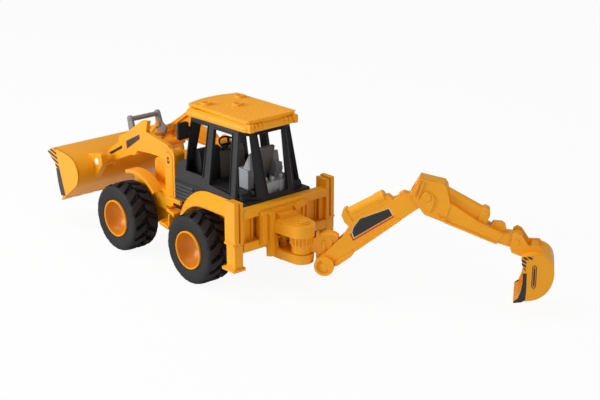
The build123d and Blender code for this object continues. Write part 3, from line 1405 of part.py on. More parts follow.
with BuildPart() as dipper:
    with BuildSketch(dipper_plane()):
        outline(*dipper_side)
    extrude(amount=dipper_half, both=True)
    # joint pocket, running on into the hollow beam
    with BuildSketch(dipper_plane()):
        outline((-20.0, -22.0), (-20.0, 2.5), (-10.4, 3.7), (-7.9, 8.5), (0.0, 10.6), (6.6, 9.4), (9.4, 8.4),
                (18.2, 2.3), (44.0, -1.5), (65.6, -1.4), (65.2, -8.0), (20.0, -11.4), (15.0, -11.8), (12.0, -22.0))
    extrude(amount=dipper_half - cheek, both=True, mode=Mode.SUBTRACT)
    with BuildSketch(dipper_plane()):
        for x, top in ((28.0, 1.2), (40.0, -0.6), (53.0, -1.0)):
            outline((x, -12.0), (x + 1.4, -12.0), (x + 1.4, top), (x, top))
    extrude(amount=dipper_half - cheek + 0.05, both=True)
    for sign in hands.values():
        # the joint box stands a little proud of the beam, which has a flange along its foot
        with BuildSketch(dipper_plane(sign * (dipper_half - 0.5))):
            outline((-13.0, -4.7), (-2.7, -10.4), (4.8, -14.2), (22.6, -12.6), (19.4, 3.0),
                    (10.4, 14.1), (7.2, 15.9), (-12.1, 11.2))
        extrude(amount=sign * 1.0)
        with BuildSketch(dipper_plane(sign * (dipper_half - 0.5))):
            outline((22.0, -13.2), (66.9, -9.8), (67.0, -8.0), (22.0, -11.4))
        extrude(amount=sign * 1.5)
        # two slanting bars at the rear edge, the shield round the elbow pin and two studs
        with BuildSketch(dipper_plane(sign * dipper_half)):
            outline((-12.0, 9.6), (-10.5, 10.0), (-9.0, -4.5), (-10.4, -4.5))
            outline((-8.9, 10.4), (-7.3, 10.8), (-5.4, -4.5), (-6.9, -4.5))
            outline((-4.6, 1.6), (-4.4, -6.4), (7.0, -11.4), (8.0, -6.0), (6.2, 1.8), (3.4, 4.2), (-2.8, 4.2))
        extrude(amount=sign * 1.5)
        with BuildSketch(dipper_plane(sign * dipper_half)):
            with Locations((14.4, -10.3), (19.7, -10.1)):
                Circle(1.3)
        extrude(amount=sign * 2.0)
    # solid tongue out to the bucket pin
    with BuildSketch(dipper_plane()):
        outline((66.0, -0.4), (66.0, -8.9), (76.4, -7.4), (dipper_length + 2.0, -4.6),
                (dipper_length + 2.0, 4.6), (76.0, 3.0))
        with Locations((dipper_length, 0)):
            Circle(5.2)
    extrude(amount=tongue_half, both=True)
    # upright fin at the end, with a fork for the hoses
    with BuildSketch(dipper_plane()):
        outline((56.0, 0.2), (56.6, 4.2), (63.1, 7.2), (66.4, 6.4), (69.2, 3.0), (68.6, -1.0))
    extrude(amount=2.4, both=True)
    with BuildSketch(dipper_plane()):
        Circle(elbow_radius + pin_play)
        with Locations((dipper_length, 0)):
            Circle(wrist_radius + seat_play)
    extrude(amount=dipper_half + 3, both=True, mode=Mode.SUBTRACT)
finish(dipper, "dipper")

with BuildPart() as ram:
    # moulded cylinder on top of the dipper: round back, filled down to the beam, and a clamp
    with BuildSketch(across(dipper_plane(0, 11.0, 9.6), -2.6)):
        Circle(3.8)
    extrude(amount=35.0)
    with BuildSketch(dipper_plane()):
        outline((12.0, 9.6), (46.0, 8.0), (46.0, 0.2), (18.0, 3.0))
    extrude(amount=3.4, both=True)
    with BuildSketch(dipper_plane()):
        outline((44.7, 0.2), (43.6, 11.0), (45.6, 12.8), (49.4, 12.4), (52.0, 8.0), (52.6, 0.2))
    extrude(amount=4.4, both=True)
    with BuildSketch(dipper_plane()):
        with Locations((48.0, 8.6)):
            Circle(1.8)
    extrude(amount=5.2, both=True)
    # seat on the dipper
    with BuildSketch(dipper_plane()):
        outline(*dipper_side)
    extrude(amount=dipper_half, both=True, mode=Mode.SUBTRACT)
finish(ram, "dipper_cylinder")

with BuildPart() as wrist_pin:
    with BuildSketch(scoop_plane()):
        Circle(wrist_radius)
    extrude(amount=ear_gap + 2.6, both=True)
finish(wrist_pin, "dig_bucket_pin")

# ---- dig bucket --------------------------------------------------------------------------

scoop_back = (
    (4.2, -9.2), (9.0, -7.6), (14.5, -6.8), (20.8, -7.4), (26.4, -10.4), (29.9, -16.1), (31.0, -23.4),
    (29.5, -32.4), (25.3, -39.7), (17.4, -45.0), (8.8, -46.4), (3.0, -47.0))
scoop_front = ((3.0, -47.0), (3.0, -43.4), (5.0, -37.5), (6.2, -30.5), (6.2, -20.6), (5.2, -13.7), (4.2, -9.2))
scoop_inner = skin(scoop_back, -bucket_wall)
scoop_level = Plane(origin=arm_plane(wrist_u, wrist_z - 60.0).origin, x_dir=(swing_x, swing_y, 0), z_dir=(0, 0, 1))


def scoop_plan(inset):
    """Plan of the dig bucket, wide at the mouth and narrow at the back."""
    near = bucket_half - inset
    far = bucket_back_half - inset
    outline((-4.0, -near - 0.4), (4.0, -near), (31.5, -far), (31.5, far), (4.0, near), (-4.0, near + 0.4))


with BuildPart() as scoop_core:
    with BuildSketch(scoop_plane()):
        with BuildLine():
            Spline(*scoop_inner)
            Polyline(scoop_inner[-1], (-6.0, -45.4), (-6.0, -9.0), scoop_inner[0])
        make_face()
    extrude(amount=bucket_half + 2, both=True)
    with BuildSketch(scoop_level):
        scoop_plan(bucket_wall)
    extrude(amount=70, mode=Mode.INTERSECT)

with BuildPart() as scoop:
    with BuildSketch(scoop_plane()):
        with BuildLine():
            Spline(*scoop_back)
            Polyline(*scoop_front)
        make_face()
    extrude(amount=bucket_half + 2, both=True)
    with BuildSketch(scoop_level):
        scoop_plan(0)
    extrude(amount=70, mode=Mode.INTERSECT)
    add(scoop_core.part, mode=Mode.SUBTRACT)
    for sign in hands.values():
        with BuildSketch(scoop_plane(sign * ear_gap)):
            outline((-3.4, 6.2), (0.0, 8.0), (3.6, 6.0), (9.4, -2.6), (18.1, -2.4), (22.4, -8.2),
                    (14.5, -7.8), (9.0, -8.4), (3.6, -11.4), (-3.6, -9.0), (-5.2, -5.0))
        extrude(amount=sign * 2.4)
    with BuildSketch(scoop_plane()):
        outline((10.4, -7.9), (12.0, -3.6), (17.0, -3.2), (19.4, -8.0))
    extrude(amount=ear_gap + 0.1, both=True)
    with BuildSketch(scoop_plane()):
        Circle(wrist_radius + pin_play)
    extrude(amount=ear_gap + 4, both=True, mode=Mode.SUBTRACT)
finish(scoop, "dig_bucket")

with BuildPart() as teeth:
    with BuildSketch(scoop_plane()):
        outline((2.95, -47.05), (2.95, -45.2), (-0.4, -46.6), (-0.6, -48.2))
    extrude(amount=bucket_half - 0.2, both=True)
    with BuildSketch(scoop_level):
        for step in range(8):
            y = (step - 3.5) * 2 * bucket_half / 7.6
            outline((-1.4, y - 1.0), (1.2, y - 0.5), (1.2, y + 0.5), (-1.4, y + 1.0))
    extrude(amount=70, mode=Mode.SUBTRACT)
finish(teeth, "dig_bucket_teeth")
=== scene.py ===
import math

import bmesh
import bpy
from mathutils import Matrix, Vector


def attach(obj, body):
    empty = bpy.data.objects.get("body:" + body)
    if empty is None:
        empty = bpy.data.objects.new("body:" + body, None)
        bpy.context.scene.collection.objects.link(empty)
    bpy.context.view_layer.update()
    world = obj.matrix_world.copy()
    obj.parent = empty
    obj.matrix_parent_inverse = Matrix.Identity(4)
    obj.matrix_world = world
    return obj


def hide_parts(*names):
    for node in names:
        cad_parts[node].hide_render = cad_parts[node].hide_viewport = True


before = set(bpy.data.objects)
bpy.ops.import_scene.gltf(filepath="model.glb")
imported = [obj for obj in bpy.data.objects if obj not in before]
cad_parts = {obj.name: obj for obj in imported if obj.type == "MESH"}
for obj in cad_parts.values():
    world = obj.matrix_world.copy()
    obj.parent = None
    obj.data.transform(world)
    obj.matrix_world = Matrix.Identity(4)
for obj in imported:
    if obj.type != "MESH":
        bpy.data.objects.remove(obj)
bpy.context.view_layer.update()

# ---- Camera, table and light ---------------------------------------------------------------
# The toy stands on a white laminate table in a plain studio. The camera looks from behind and
# to the left, a little above. Broad soft boxes keep the moulded plastic's colour near its own.

machine = Vector((17.7, 37.8, 0.0))  # machine zero in mm: under the middle of the rear axle

camera = bpy.data.objects.new("camera", bpy.data.cameras.new("camera"))
bpy.context.scene.collection.objects.link(camera)
camera.data.sensor_width = 36.0
camera.data.lens = 85.36
camera.data.clip_start = 0.05
camera.data.clip_end = 20.0
turn = math.radians(228.36)
rise = math.radians(19.0)
back = Vector((math.sin(turn) * math.cos(rise), -math.cos(turn) * math.cos(rise), math.sin(rise)))
camera.location = machine / 1000 + Vector((-0.0634, -0.0089, 0.0762)) + back * 1.192
camera.rotation_euler = back.to_track_quat("Z", "Y").to_euler()
bpy.context.scene.camera = camera
bpy.context.scene.view_settings.view_transform = "Standard"


def linear(code):
    """Turn an sRGB hex colour into linear red, green, blue and alpha."""
    parts = [int(code[i:i + 2], 16) / 255 for i in (0, 2, 4)]
    return [c / 12.92 if c <= 0.04045 else ((c + 0.055) / 1.055) ** 2.4 for c in parts] + [1.0]


def add(tree, kind, links=None, **settings):
    """Add a node with its settings. A link's value is a socket to join or a plain value."""
    node = tree.nodes.new(kind)
    for name, value in settings.items():
        setattr(node, name, value)
    for name, value in (links or {}).items():
        socket = node.inputs[name]
        if isinstance(value, bpy.types.NodeSocket):
            tree.links.new(value, socket)
        else:
            socket.default_value = value
    return node


def blank(name):
    """A new node material and its empty tree."""
    material = bpy.data.materials.new(name)
    material.use_nodes = True
    material.node_tree.nodes.clear()
    return material, material.node_tree


# Laminate, matt white: the camera sees plain white with the toy's soft shadow on it.
laminate, tree = blank("laminate_matt_white")
shader = add(tree, "ShaderNodeBsdfPrincipled", {"Base Color": linear("F4F4F4"), "Roughness": 0.9})
plain = add(tree, "ShaderNodeEmission", {"Color": linear("FFFFFF"), "Strength": 1.0})
path = add(tree, "ShaderNodeLightPath")
seen = add(tree, "ShaderNodeMath", {0: path.outputs["Is Camera Ray"], 1: 0.93}, operation="MULTIPLY")
both = add(tree, "ShaderNodeMixShader", {0: seen.outputs[0], 1: shader.outputs[0], 2: plain.outputs[0]})
add(tree, "ShaderNodeOutputMaterial", {"Surface": both.outputs[0]})

bpy.ops.mesh.primitive_plane_add(size=14.0, location=(0, 0, 0))
table = bpy.context.object
table.name = "table"
table.data.materials.append(laminate)

world = bpy.data.worlds.new("studio")
world.use_nodes = True
tree = world.node_tree
tree.nodes.clear()
path = add(tree, "ShaderNodeLightPath")
eye = add(tree, "ShaderNodeMath", {0: path.outputs["Is Camera Ray"], 1: path.outputs["Is Transmission Ray"]},
          operation="MAXIMUM")
level_of_sky = add(tree, "ShaderNodeMapRange", {0: eye.outputs[0], 3: 0.3, 4: 1.0})
sky = add(tree, "ShaderNodeBackground", {"Color": linear("FFFFFF"), "Strength": level_of_sky.outputs[0]})
add(tree, "ShaderNodeOutputWorld", {"Surface": sky.outputs[0]})
bpy.context.scene.world = world


def lamp(name, place, aim, size, power):
    """A square soft box."""
    light = bpy.data.lights.new(name, "AREA")
    light.size = size
    light.energy = power
    box = bpy.data.objects.new(name, light)
    box.location = place
    box.rotation_euler = (Vector(place) - Vector(aim)).to_track_quat("Z", "Y").to_euler()
    bpy.context.scene.collection.objects.link(box)


lamp("top_softbox", (0.3, 0.4, 1.5), (0, 0, 0.05), 1.0, 9.5)
lamp("left_softbox", (0.85, 1.45, 0.55), (0, 0, 0.05), 0.8, 19.0)
lamp("rear_softbox", (-1.5, 0.1, 0.6), (0, 0, 0.05), 0.9, 4.6)

# ---- Moulded body: chassis, decks, towers, frames and arms ---------------------------------
# The yellow pieces are ABS, injection moulded in steel moulds with a fine satin skin, clipped
# and screwed together. Grey pieces are the same process in other plastics. The hubs' deeper
# orange is painted shade and the near-white pin heads are a painted highlight.


def moulded(name, code, roughness, grain, depth, edge=0.00035):
    """Injection-moulded plastic: faint flow shading, a fine skin and softly rounded edges."""
    material, tree = blank(name)
    place = add(tree, "ShaderNodeTexCoord")
    flow = add(tree, "ShaderNodeTexNoise", {"Vector": place.outputs["Object"], "Scale": 28.0, "Detail": 3.0})
    tone = add(tree, "ShaderNodeMapRange", {0: flow.outputs[0], 1: 0.3, 2: 0.7, 3: 0.965, 4: 1.03})
    colour = add(tree, "ShaderNodeMix", {0: 1.0, 6: linear(code), 7: tone.outputs[0]},
                 data_type="RGBA", blend_type="MULTIPLY")
    rubbed = add(tree, "ShaderNodeTexNoise",
                 {"Vector": place.outputs["Object"], "Scale": 60.0, "Detail": 5.0})
    rough = add(tree, "ShaderNodeMapRange", {0: rubbed.outputs[0], 1: 0.25, 2: 0.75,
                                             3: roughness - 0.05, 4: roughness + 0.06})
    skin = add(tree, "ShaderNodeTexNoise", {"Vector": place.outputs["Object"], "Scale": grain, "Detail": 2.0})
    bump = add(tree, "ShaderNodeBump", {"Height": skin.outputs[0], "Strength": 1.0, "Distance": depth})
    if edge:
        soft = add(tree, "ShaderNodeBevel", {"Radius": edge}, samples=4)
        tree.links.new(soft.outputs[0], bump.inputs["Normal"])
    shader = add(tree, "ShaderNodeBsdfPrincipled",
                 {"Base Color": colour.outputs[2], "Roughness": rough.outputs[0],
                  "Normal": bump.outputs[0], "IOR": 1.54, "Specular IOR Level": 0.32})
    add(tree, "ShaderNodeOutputMaterial", {"Surface": shader.outputs[0]})
    return material


def dress(material, *nodes):
    """Give carried-over pieces their finish."""
    for node in nodes:
        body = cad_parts[node]
        body.data.materials.clear()
        body.data.materials.append(material)


# ABS, injection moulded in golden yellow: satin, with a fine even skin from the mould.
yellow_abs = moulded("abs_moulded_golden_yellow", "F7A616", 0.38, 900.0, 0.00002)
# The same yellow ABS for pieces whose edges are rounded in their own mesh.
yellow_cap = moulded("abs_moulded_golden_yellow_rounded", "F7A616", 0.38, 900.0, 0.00001, 0)
# The hubs' yellow ABS, darkened to a deeper orange as painted shade for the hollow of each bowl: satin and
# smooth.
hub_bowl_painted_shade = moulded("abs_yellow_hub_bowl_painted_shade", "D6820A", 0.34, 900.0, 0.00002)
# ABS, injection moulded in black against a lightly etched mould: a soft, low sheen.
black_abs = moulded("abs_moulded_black_etched", "17171A", 0.46, 1400.0, 0.00004)
# ABS, moulded in mid grey for the tip handle: satin.
handle_abs = moulded("abs_moulded_mid_grey", "8B8987", 0.42, 1200.0, 0.00003)
# Near-white with a waxy sheen: a painted highlight standing for the bright end of each bucket pin.
pin_head_painted_highlight = moulded("pin_head_white_painted_highlight", "F2EFE6", 0.35, 800.0, 0.00002)
# ABS with a little aluminium flake, for the cab's inside: a dull silvery grey.
silver_abs = moulded("abs_moulded_silver_grey", "A3A6AA", 0.4, 1200.0, 0.00003)
# ABS, moulded in dark grey for the seat and the dash: satin.
grey_abs = moulded("abs_moulded_dark_grey", "6A6662", 0.45, 1200.0, 0.00003)
# PVC, moulded soft in charcoal for the tyres: a dry, open surface.
tyre_pvc = moulded("pvc_moulded_charcoal", "1A1A1C", 0.66, 1500.0, 0.00006, 0.0005)
# Steel wire, drawn and cut: a plain grey metal with fine streaks.
drawn_steel, tree = blank("steel_wire_drawn")
place = add(tree, "ShaderNodeTexCoord")
lines = add(tree, "ShaderNodeTexNoise", {"Vector": place.outputs["Object"], "Scale": 900.0, "Detail": 2.0})
rough = add(tree, "ShaderNodeMapRange", {0: lines.outputs[0], 3: 0.28, 4: 0.42})
shader = add(tree, "ShaderNodeBsdfPrincipled", {"Base Color": linear("B8BABC"), "Metallic": 1.0,
                                                "Roughness": rough.outputs[0]})
add(tree, "ShaderNodeOutputMaterial", {"Surface": shader.outputs[0]})

sides = {"left": 1, "right": -1}

dress(yellow_abs, "chassis", "front_body", "bonnet", "tower_left", "tower_right", "rear_body", "rear_frame",
      "stabiliser_sleeve_left", "stabiliser_sleeve_right", "stabiliser_leg_left", "stabiliser_leg_right",
      "loader_arm_left", "loader_arm_right", "loader_cross_tube", "loader_cutting_edge", "tip_links",
      "loader_bucket", "carriage", "swing_pin", "swing_post", "boom_foot_pin", "boom", "boom_cylinder",
      "elbow_pin", "dipper", "dipper_cylinder", "dig_bucket_pin", "dig_bucket", "dig_bucket_teeth",
      "bracket_link_pins", "tip_handle_shaft", "footstep_left", "footstep_right", "cab_roof")
# Hub bowls: their darker orange is painted shade in the hollow of each bowl.
dress(hub_bowl_painted_shade, "hub_front_left", "hub_front_right", "hub_rear_left", "hub_rear_right")
dress(black_abs, "side_panel_left", "side_panel_right", "mirror_left", "mirror_right", "loader_pivot_pins",
      "cab_floor", "cab_frame", "steering_wheel")
dress(grey_abs, "seat", "lever_console")
dress(handle_abs, "tip_handle", "handle_link_pins")
# Bucket pins: near-white as a painted highlight on the pin ends.
dress(pin_head_painted_highlight, "bucket_pivot_pins")
dress(tyre_pvc, "tyre_front_left", "tyre_front_right", "tyre_rear_left", "tyre_rear_right")
dress(drawn_steel, "front_axle", "rear_axle", "chassis_screws")

# ---- Tyres ---------------------------------------------------------------------------------
# Four hollow farm tyres, blow moulded in charcoal PVC and pushed over the hubs. Each has a
# smooth ring on the sidewall and two staggered rows of deep curved lugs that meet in a vee.

tyre_radius = 31.0
tyre_half = 13.5
tyre_floor = 27.0  # radius between the lugs
lug_count = 16
lug_root = 25.8  # radius at which a lug ends inside the carcass
front_axle_x = 107.3
tyre_outside = 62.0  # from the centre line to the outer face
tyre_facets = 72


def loft(mesh, rings, closed=False):
    """Bridge rings of equal length. The ends are capped unless the rings form a closed loop."""
    rows = [[mesh.verts.new(point) for point in ring] for ring in rings]
    pairs = list(zip(rows, rows[1:])) + ([(rows[-1], rows[0])] if closed else [])
    for one, two in pairs:
        for i in range(len(one)):
            j = (i + 1) % len(one)
            mesh.faces.new((one[i], one[j], two[j], two[i]))
    if not closed:
        mesh.faces.new(rows[0])
        mesh.faces.new(rows[-1])


def finished(name, mesh, material, body, nodes=(), soften=0.25):
    """Turn a mesh in machine mm into a piece in metres with softened edges, riding on its body."""
    bmesh.ops.recalc_face_normals(mesh, faces=mesh.faces)
    mesh.transform(Matrix.Scale(0.001, 4) @ Matrix.Translation(machine))
    data = bpy.data.meshes.new(name)
    mesh.to_mesh(data)
    mesh.free()
    data.materials.append(material)
    data.polygons.foreach_set("use_smooth", [True] * len(data.polygons))
    data.set_sharp_from_angle(angle=math.radians(32))
    piece = bpy.data.objects.new(name, data)
    bpy.context.scene.collection.objects.link(piece)
    if soften:
        bevel = piece.modifiers.new("soften", "BEVEL")
        bevel.width = soften / 1000
        bevel.segments = 2
        bevel.limit_method = "ANGLE"
        bevel.angle_limit = math.radians(40)
    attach(piece, body)
    if nodes:
        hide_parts(*nodes)
    return piece


def node_group(name, **inputs):
    """A geometry tree with named inputs and one geometry output."""
    tree = bpy.data.node_groups.new(name, "GeometryNodeTree")
    tree.interface.new_socket("Geometry", in_out="INPUT", socket_type="NodeSocketGeometry")
    for label, value in inputs.items():
        kind = {int: "NodeSocketInt", float: "NodeSocketFloat"}.get(type(value), "NodeSocketMaterial")
        socket = tree.interface.new_socket(label, in_out="INPUT", socket_type=kind)
        if not isinstance(value, bpy.types.Material):
            socket.default_value = value
    tree.interface.new_socket("Geometry", in_out="OUTPUT", socket_type="NodeSocketGeometry")
    return tree, tree.nodes.new("NodeGroupInput"), tree.nodes.new("NodeGroupOutput")


def copies(tree, given, result, points, **turned):
    """Close a geometry tree: a copy of the mesh on every point, made real and given its material."""
    stood = add(tree, "GeometryNodeInstanceOnPoints",
                {"Points": points.outputs[0], "Instance": given.outputs["Geometry"], **turned})
    real = add(tree, "GeometryNodeRealizeInstances", {"Geometry": stood.outputs[0]})
    skinned = add(tree, "GeometryNodeSetMaterial",
                  {"Geometry": real.outputs[0], "Material": given.outputs["Material"]})
    tree.links.new(skinned.outputs[0], result.inputs[0])


def repeated(mesh, group, **values):
    """Run a geometry tree on a mesh and return the plain result as a new mesh."""
    data = bpy.data.meshes.new("seed")
    mesh.to_mesh(data)
    mesh.free()
    holder = bpy.data.objects.new("seed", data)
    bpy.context.scene.collection.objects.link(holder)
    modifier = holder.modifiers.new("repeat", "NODES")
    modifier.node_group = group
    for socket in group.interface.items_tree:
        if socket.in_out == "INPUT" and socket.name in values:
            modifier[socket.identifier] = values[socket.name]
    view = bpy.context.evaluated_depsgraph_get()
    made = bpy.data.meshes.new_from_object(holder.evaluated_get(view))
    holder.modifiers.clear()
    bpy.data.objects.remove(holder)
    result = bmesh.new()
    result.from_mesh(made)
    bpy.data.meshes.remove(made)
    return result


wheel_ring, given, result = node_group("lugs_round_an_axle", Count=lug_count, Material=tyre_pvc)
points = add(wheel_ring, "GeometryNodePoints", {"Count": given.outputs["Count"]})
index = add(wheel_ring, "GeometryNodeInputIndex")
share = add(wheel_ring, "ShaderNodeMath", {0: index.outputs[0], 1: given.outputs["Count"]},
            operation="DIVIDE")
angle = add(wheel_ring, "ShaderNodeMath", {0: share.outputs[0], 1: 2 * math.pi}, operation="MULTIPLY")
spin = add(wheel_ring, "ShaderNodeCombineXYZ", {"Y": angle.outputs[0]})
copies(wheel_ring, given, result, points, Rotation=spin.outputs[0])

# one station of a lug: distance from the tyre's middle, sweep in mm, half width, top radius
lug_stations = ((0.6, 0.0, 2.6, 31.0), (4.0, 2.2, 3.2, 31.0), (7.4, 4.6, 3.7, 30.9), (10.2, 6.2, 4.0, 30.6),
                (12.0, 7.0, 4.1, 29.9), (13.1, 7.4, 4.0, 28.8), (13.5, 7.6, 3.8, 27.4))
carcass = ((12.2, 16.9), (12.9, 19.0), (13.4, 23.0), (13.6, 26.4), (13.2, 28.2), (12.3, 29.4), (11.3, 29.5),
           (9.8, 28.2), (7.6, tyre_floor), (4.0, tyre_floor))

for end, at in (("rear", 0.0), ("front", front_axle_x)):
    for hand, sign in sides.items():
        lugs = bmesh.new()
        for edge, shift in ((1, 0.2), (-1, 0.7)):
            rings = []
            for y, sweep, wide, top in lug_stations:
                middle = sweep / tyre_radius + shift * 2 * math.pi / lug_count
                ring = []
                for radius, offset in ((lug_root, wide + 0.5), (top - 0.5, wide), (top, wide - 0.5),
                                       (top, 0.5 - wide), (top - 0.5, -wide), (lug_root, -wide - 0.5)):
                    a = middle + offset / tyre_radius
                    ring.append((radius * math.cos(a), edge * y, radius * math.sin(a)))
                rings.append(ring)
            loft(lugs, rings)
        tyre = repeated(lugs, wheel_ring, Count=lug_count, Material=tyre_pvc)
        section = [(y, r) for y, r in carcass] + [(-y, r) for y, r in reversed(carcass)]
        turns = [2 * math.pi * k / tyre_facets for k in range(tyre_facets)]
        loft(tyre, [[(r * math.cos(a), y, r * math.sin(a)) for y, r in section] for a in turns], closed=True)
        tyre.transform(Matrix.Translation((at, sign * (tyre_outside - tyre_half), tyre_radius)))
        finished(f"tyre_tread_{end}_{hand}", tyre, tyre_pvc, f"{end}_wheels", (f"tyre_{end}_{hand}",),
                 0)

# ---- Cab frame -----------------------------------------------------------------------------
# One black ABS cage, moulded in halves and snapped over the deck: a sill, leaning sides with
# rimmed windows, slanting corner panes and twin rear pillars. No glass is fitted.

sill_z = 77.5
eave_z = 137.6


def side_half(z):
    """Half width of the cab at height z."""
    return 36.6 - 0.153 * (z - 74.3)


def corner(z):
    """Plan of the left rear corner at height z: the rear vertex and the side vertex."""
    rise = z - 80.0
    return (Vector((-45.6 + 0.2 * rise, 16.2 + 0.024 * rise, z)),
            Vector((-32.0 + 0.08 * rise, side_half(z), z)))


def pane(mesh, outer, inner, inward, thick, rim=0.0):
    """A wall with a window: the ring between two outlines, with a raised rim round the hole."""
    depth = Vector(inward).normalized() * thick
    loft(mesh, [outer, inner, [p + depth for p in inner], [p + depth for p in outer]], closed=True)
    if rim:
        middle = sum(inner, Vector()) / len(inner)
        wide = [p + (p - middle).normalized() * rim * 1.6 for p in inner]
        up = -Vector(inward).normalized() * 0.8
        loft(mesh, [[p + up for p in wide], [p + up for p in inner], [p + depth * 0.3 for p in inner],
                    [p + depth * 0.3 for p in wide]], closed=True)


def along(a, b, share):
    """The point part of the way from a to b."""
    return a + (b - a) * share


def on_wall(points, sign):
    """Side outline (x, z) laid on the leaning wall of one side."""
    return [Vector((x, sign * side_half(z), z)) for x, z in points]


def flip(points, sign):
    """The same points, on the left (1) or mirrored to the right (-1)."""
    return [Vector((p.x, sign * p.y, p.z)) for p in points]


wall = 2.4
cab = bmesh.new()
for sign in sides.values():
    inward = (0, -sign, -0.15)
    door = [(34.4, 131.0), (12.3, 131.0), (12.6, 88.0), (35.6, 88.0), (35.4, 97.0)]
    door_edge = [(36.4, eave_z), (8.0, eave_z), (8.0, 84.0), (38.6, 84.0), (37.9, 97.0)]
    pane(cab, on_wall(door_edge, sign), on_wall(door, sign), inward, wall, 1.0)
    rear_side = on_wall(((3.6, 130.6), (-20.4, 130.6), (-24.8, 81.2), (2.4, 83.2)), sign)
    rear_edge = [*on_wall([(8.0, eave_z)], sign), *flip([corner(eave_z)[1], corner(sill_z)[1]], sign),
                 *on_wall([(8.0, sill_z)], sign)]
    pane(cab, rear_edge, rear_side, inward, wall, 1.0)
    foot = on_wall(((8.0, 84.0), (38.6, 84.0), (37.9, 97.0), (48.6, 93.0), (49.4, sill_z), (8.0, sill_z)),
                   sign)
    loft(cab, [foot, [p + Vector(inward) * wall for p in foot]])
    # corner pane between the rear pillar and the side pillar
    low_rear, low_side = corner(sill_z)
    high_rear, high_side = corner(eave_z)
    low_pane, high_pane = corner(79.6), corner(131.0)
    outer = flip([high_side, high_rear, low_rear, low_side], sign)
    inner = flip([along(*reversed(high_pane), 0.12), along(*high_pane, 0.3), along(*low_pane, 0.24),
                  along(*reversed(low_pane), 0.08)], sign)
    pane(cab, outer, inner, (0.7, -0.7 * sign, -0.2), 2.2, 0.7)
high_rear, low_rear = corner(eave_z)[0], corner(sill_z)[0]
rear_outer = [high_rear, *flip([high_rear, low_rear], -1), low_rear]
rear_inner = [Vector((corner(z)[0].x, y, z))
              for z, y in ((131.2, 14.0), (131.2, -14.0), (80.8, -10.8), (80.8, 10.8))]
pane(cab, rear_outer, rear_inner, (1, 0, -0.2), wall, 0.8)
# windscreen frame and the sloping scuttle below it
screen = [Vector((35.9, y, z)) for y, z in ((25.0, eave_z), (-25.0, eave_z))]
screen += [Vector((37.9, y, 97.0)) for y in (-side_half(97.0), side_half(97.0))]
glass = [Vector((36.1, y, z)) for y, z in ((18.4, 127.0), (-18.4, 127.0))]
glass += [Vector((37.7, y, 100.5)) for y in (-24.0, 24.0)]
pane(cab, screen, glass, (-1, 0, -0.05), 2.2, 0.8)
scuttle = [Vector((x, y, z)) for x, y, z in ((37.9, 32.9, 97.0), (48.6, 33.5, 93.0), (49.4, 35.9, sill_z),
                                             (47.2, 35.9, sill_z), (46.4, 33.5, 91.2), (37.9, 32.9, 94.4))]
loft(cab, [scuttle, flip(scuttle, -1)])
# sill: a flat tray with square corners that the leaning walls stand on
plan = [(50.0, 36.6), (-44.0, 36.9), (-46.4, 35.4), (-46.4, -35.4), (-44.0, -36.9), (50.0, -36.6)]
loft(cab, [[Vector((x, y, z)) for x, y in plan] for z in (74.35, sill_z - 0.4)]
     + [[Vector((x * 0.992, y * 0.985, sill_z + 0.1)) for x, y in plan]])
finished("cab_cage", cab, black_abs, "machine", ("cab_frame",), 0.22)

# ---- Cab roof ------------------------------------------------------------------------------
# A yellow ABS cap with a swelling eave and a ribbed plate on top. Three round eyes take
# accessories, and small moulded blocks stand where the rear lamps would be.

ring_points = 7  # points round each corner
right_tuck = 3.0  # how much further in the right rear corner stands
rib_count = 15
rib_pitch = 3.6


def rounded(inset, radius, z):
    """The eave's level outline, drawn in by an inset, with rounded corners."""
    front, rear = 41.6 - inset, 41.8 - inset
    half_front, half_rear = 32.0 - inset, 29.6 - inset
    points = []
    for cx, cy, start in ((front - radius, half_front - radius, 0), (radius - rear, half_rear - radius, 90),
                          (radius - rear, right_tuck + radius - half_rear, 180),
                          (front - radius, radius - half_front, 270)):
        for step in range(ring_points):
            a = math.radians(start + 90 * step / (ring_points - 1))
            points.append(Vector((cx + radius * math.cos(a), cy + radius * math.sin(a), z)))
    return points


roof = bmesh.new()
outside = ((136.0, 1.6), (136.1, 0.7), (137.4, 0.15), (139.2, 0.0), (140.8, 0.6), (142.0, 1.9), (142.9, 3.6))
inside = ((141.8, 5.0), (136.0, 3.2))
loft(roof, [rounded(inset, 6.5 - inset * 0.5, z) for z, inset in outside]
     + [rounded(inset, 5.0, z) for z, inset in inside], closed=True)


def plate_outline(inset, z):
    """Outline of the ribbed plate: straight sides, a bowed front and crisp rear corners."""
    points = [Vector((40.6 + 5.6 * (1 - (k / 4) ** 2) - inset, 27.0 * k / 4 - inset * k / 4, z))
              for k in range(-4, 5)]
    return points + [Vector((-38.8 + inset, 28.2 - inset, z)), Vector((-40.4 + inset, 26.6 - inset, z)),
                     Vector((-40.4 + inset, -23.0 + inset, z)), Vector((-38.8 + inset, -25.0 + inset, z))]


loft(roof, [plate_outline(*at) for at in ((1.2, 142.0), (0.2, 143.4), (0.0, 144.8), (0.7, 145.6))])

rib_row, given, result = node_group("ribs_in_a_row", Count=rib_count, Pitch=rib_pitch,
                                    Material=yellow_cap)
line = add(rib_row, "GeometryNodePoints", {"Count": given.outputs["Count"]})
index = add(rib_row, "GeometryNodeInputIndex")
last = add(rib_row, "ShaderNodeMath", {0: given.outputs["Count"], 1: 1.0}, operation="SUBTRACT")
half = add(rib_row, "ShaderNodeMath", {0: last.outputs[0], 1: 0.5}, operation="MULTIPLY")
step = add(rib_row, "ShaderNodeMath", {0: index.outputs[0], 1: half.outputs[0]}, operation="SUBTRACT")
across = add(rib_row, "ShaderNodeMath", {0: step.outputs[0], 1: given.outputs["Pitch"]}, operation="MULTIPLY")
spot = add(rib_row, "ShaderNodeCombineXYZ", {"Y": across.outputs[0]})
spread = add(rib_row, "GeometryNodeSetPosition", {"Geometry": line.outputs[0], "Position": spot.outputs[0]})
copies(rib_row, given, result, spread)

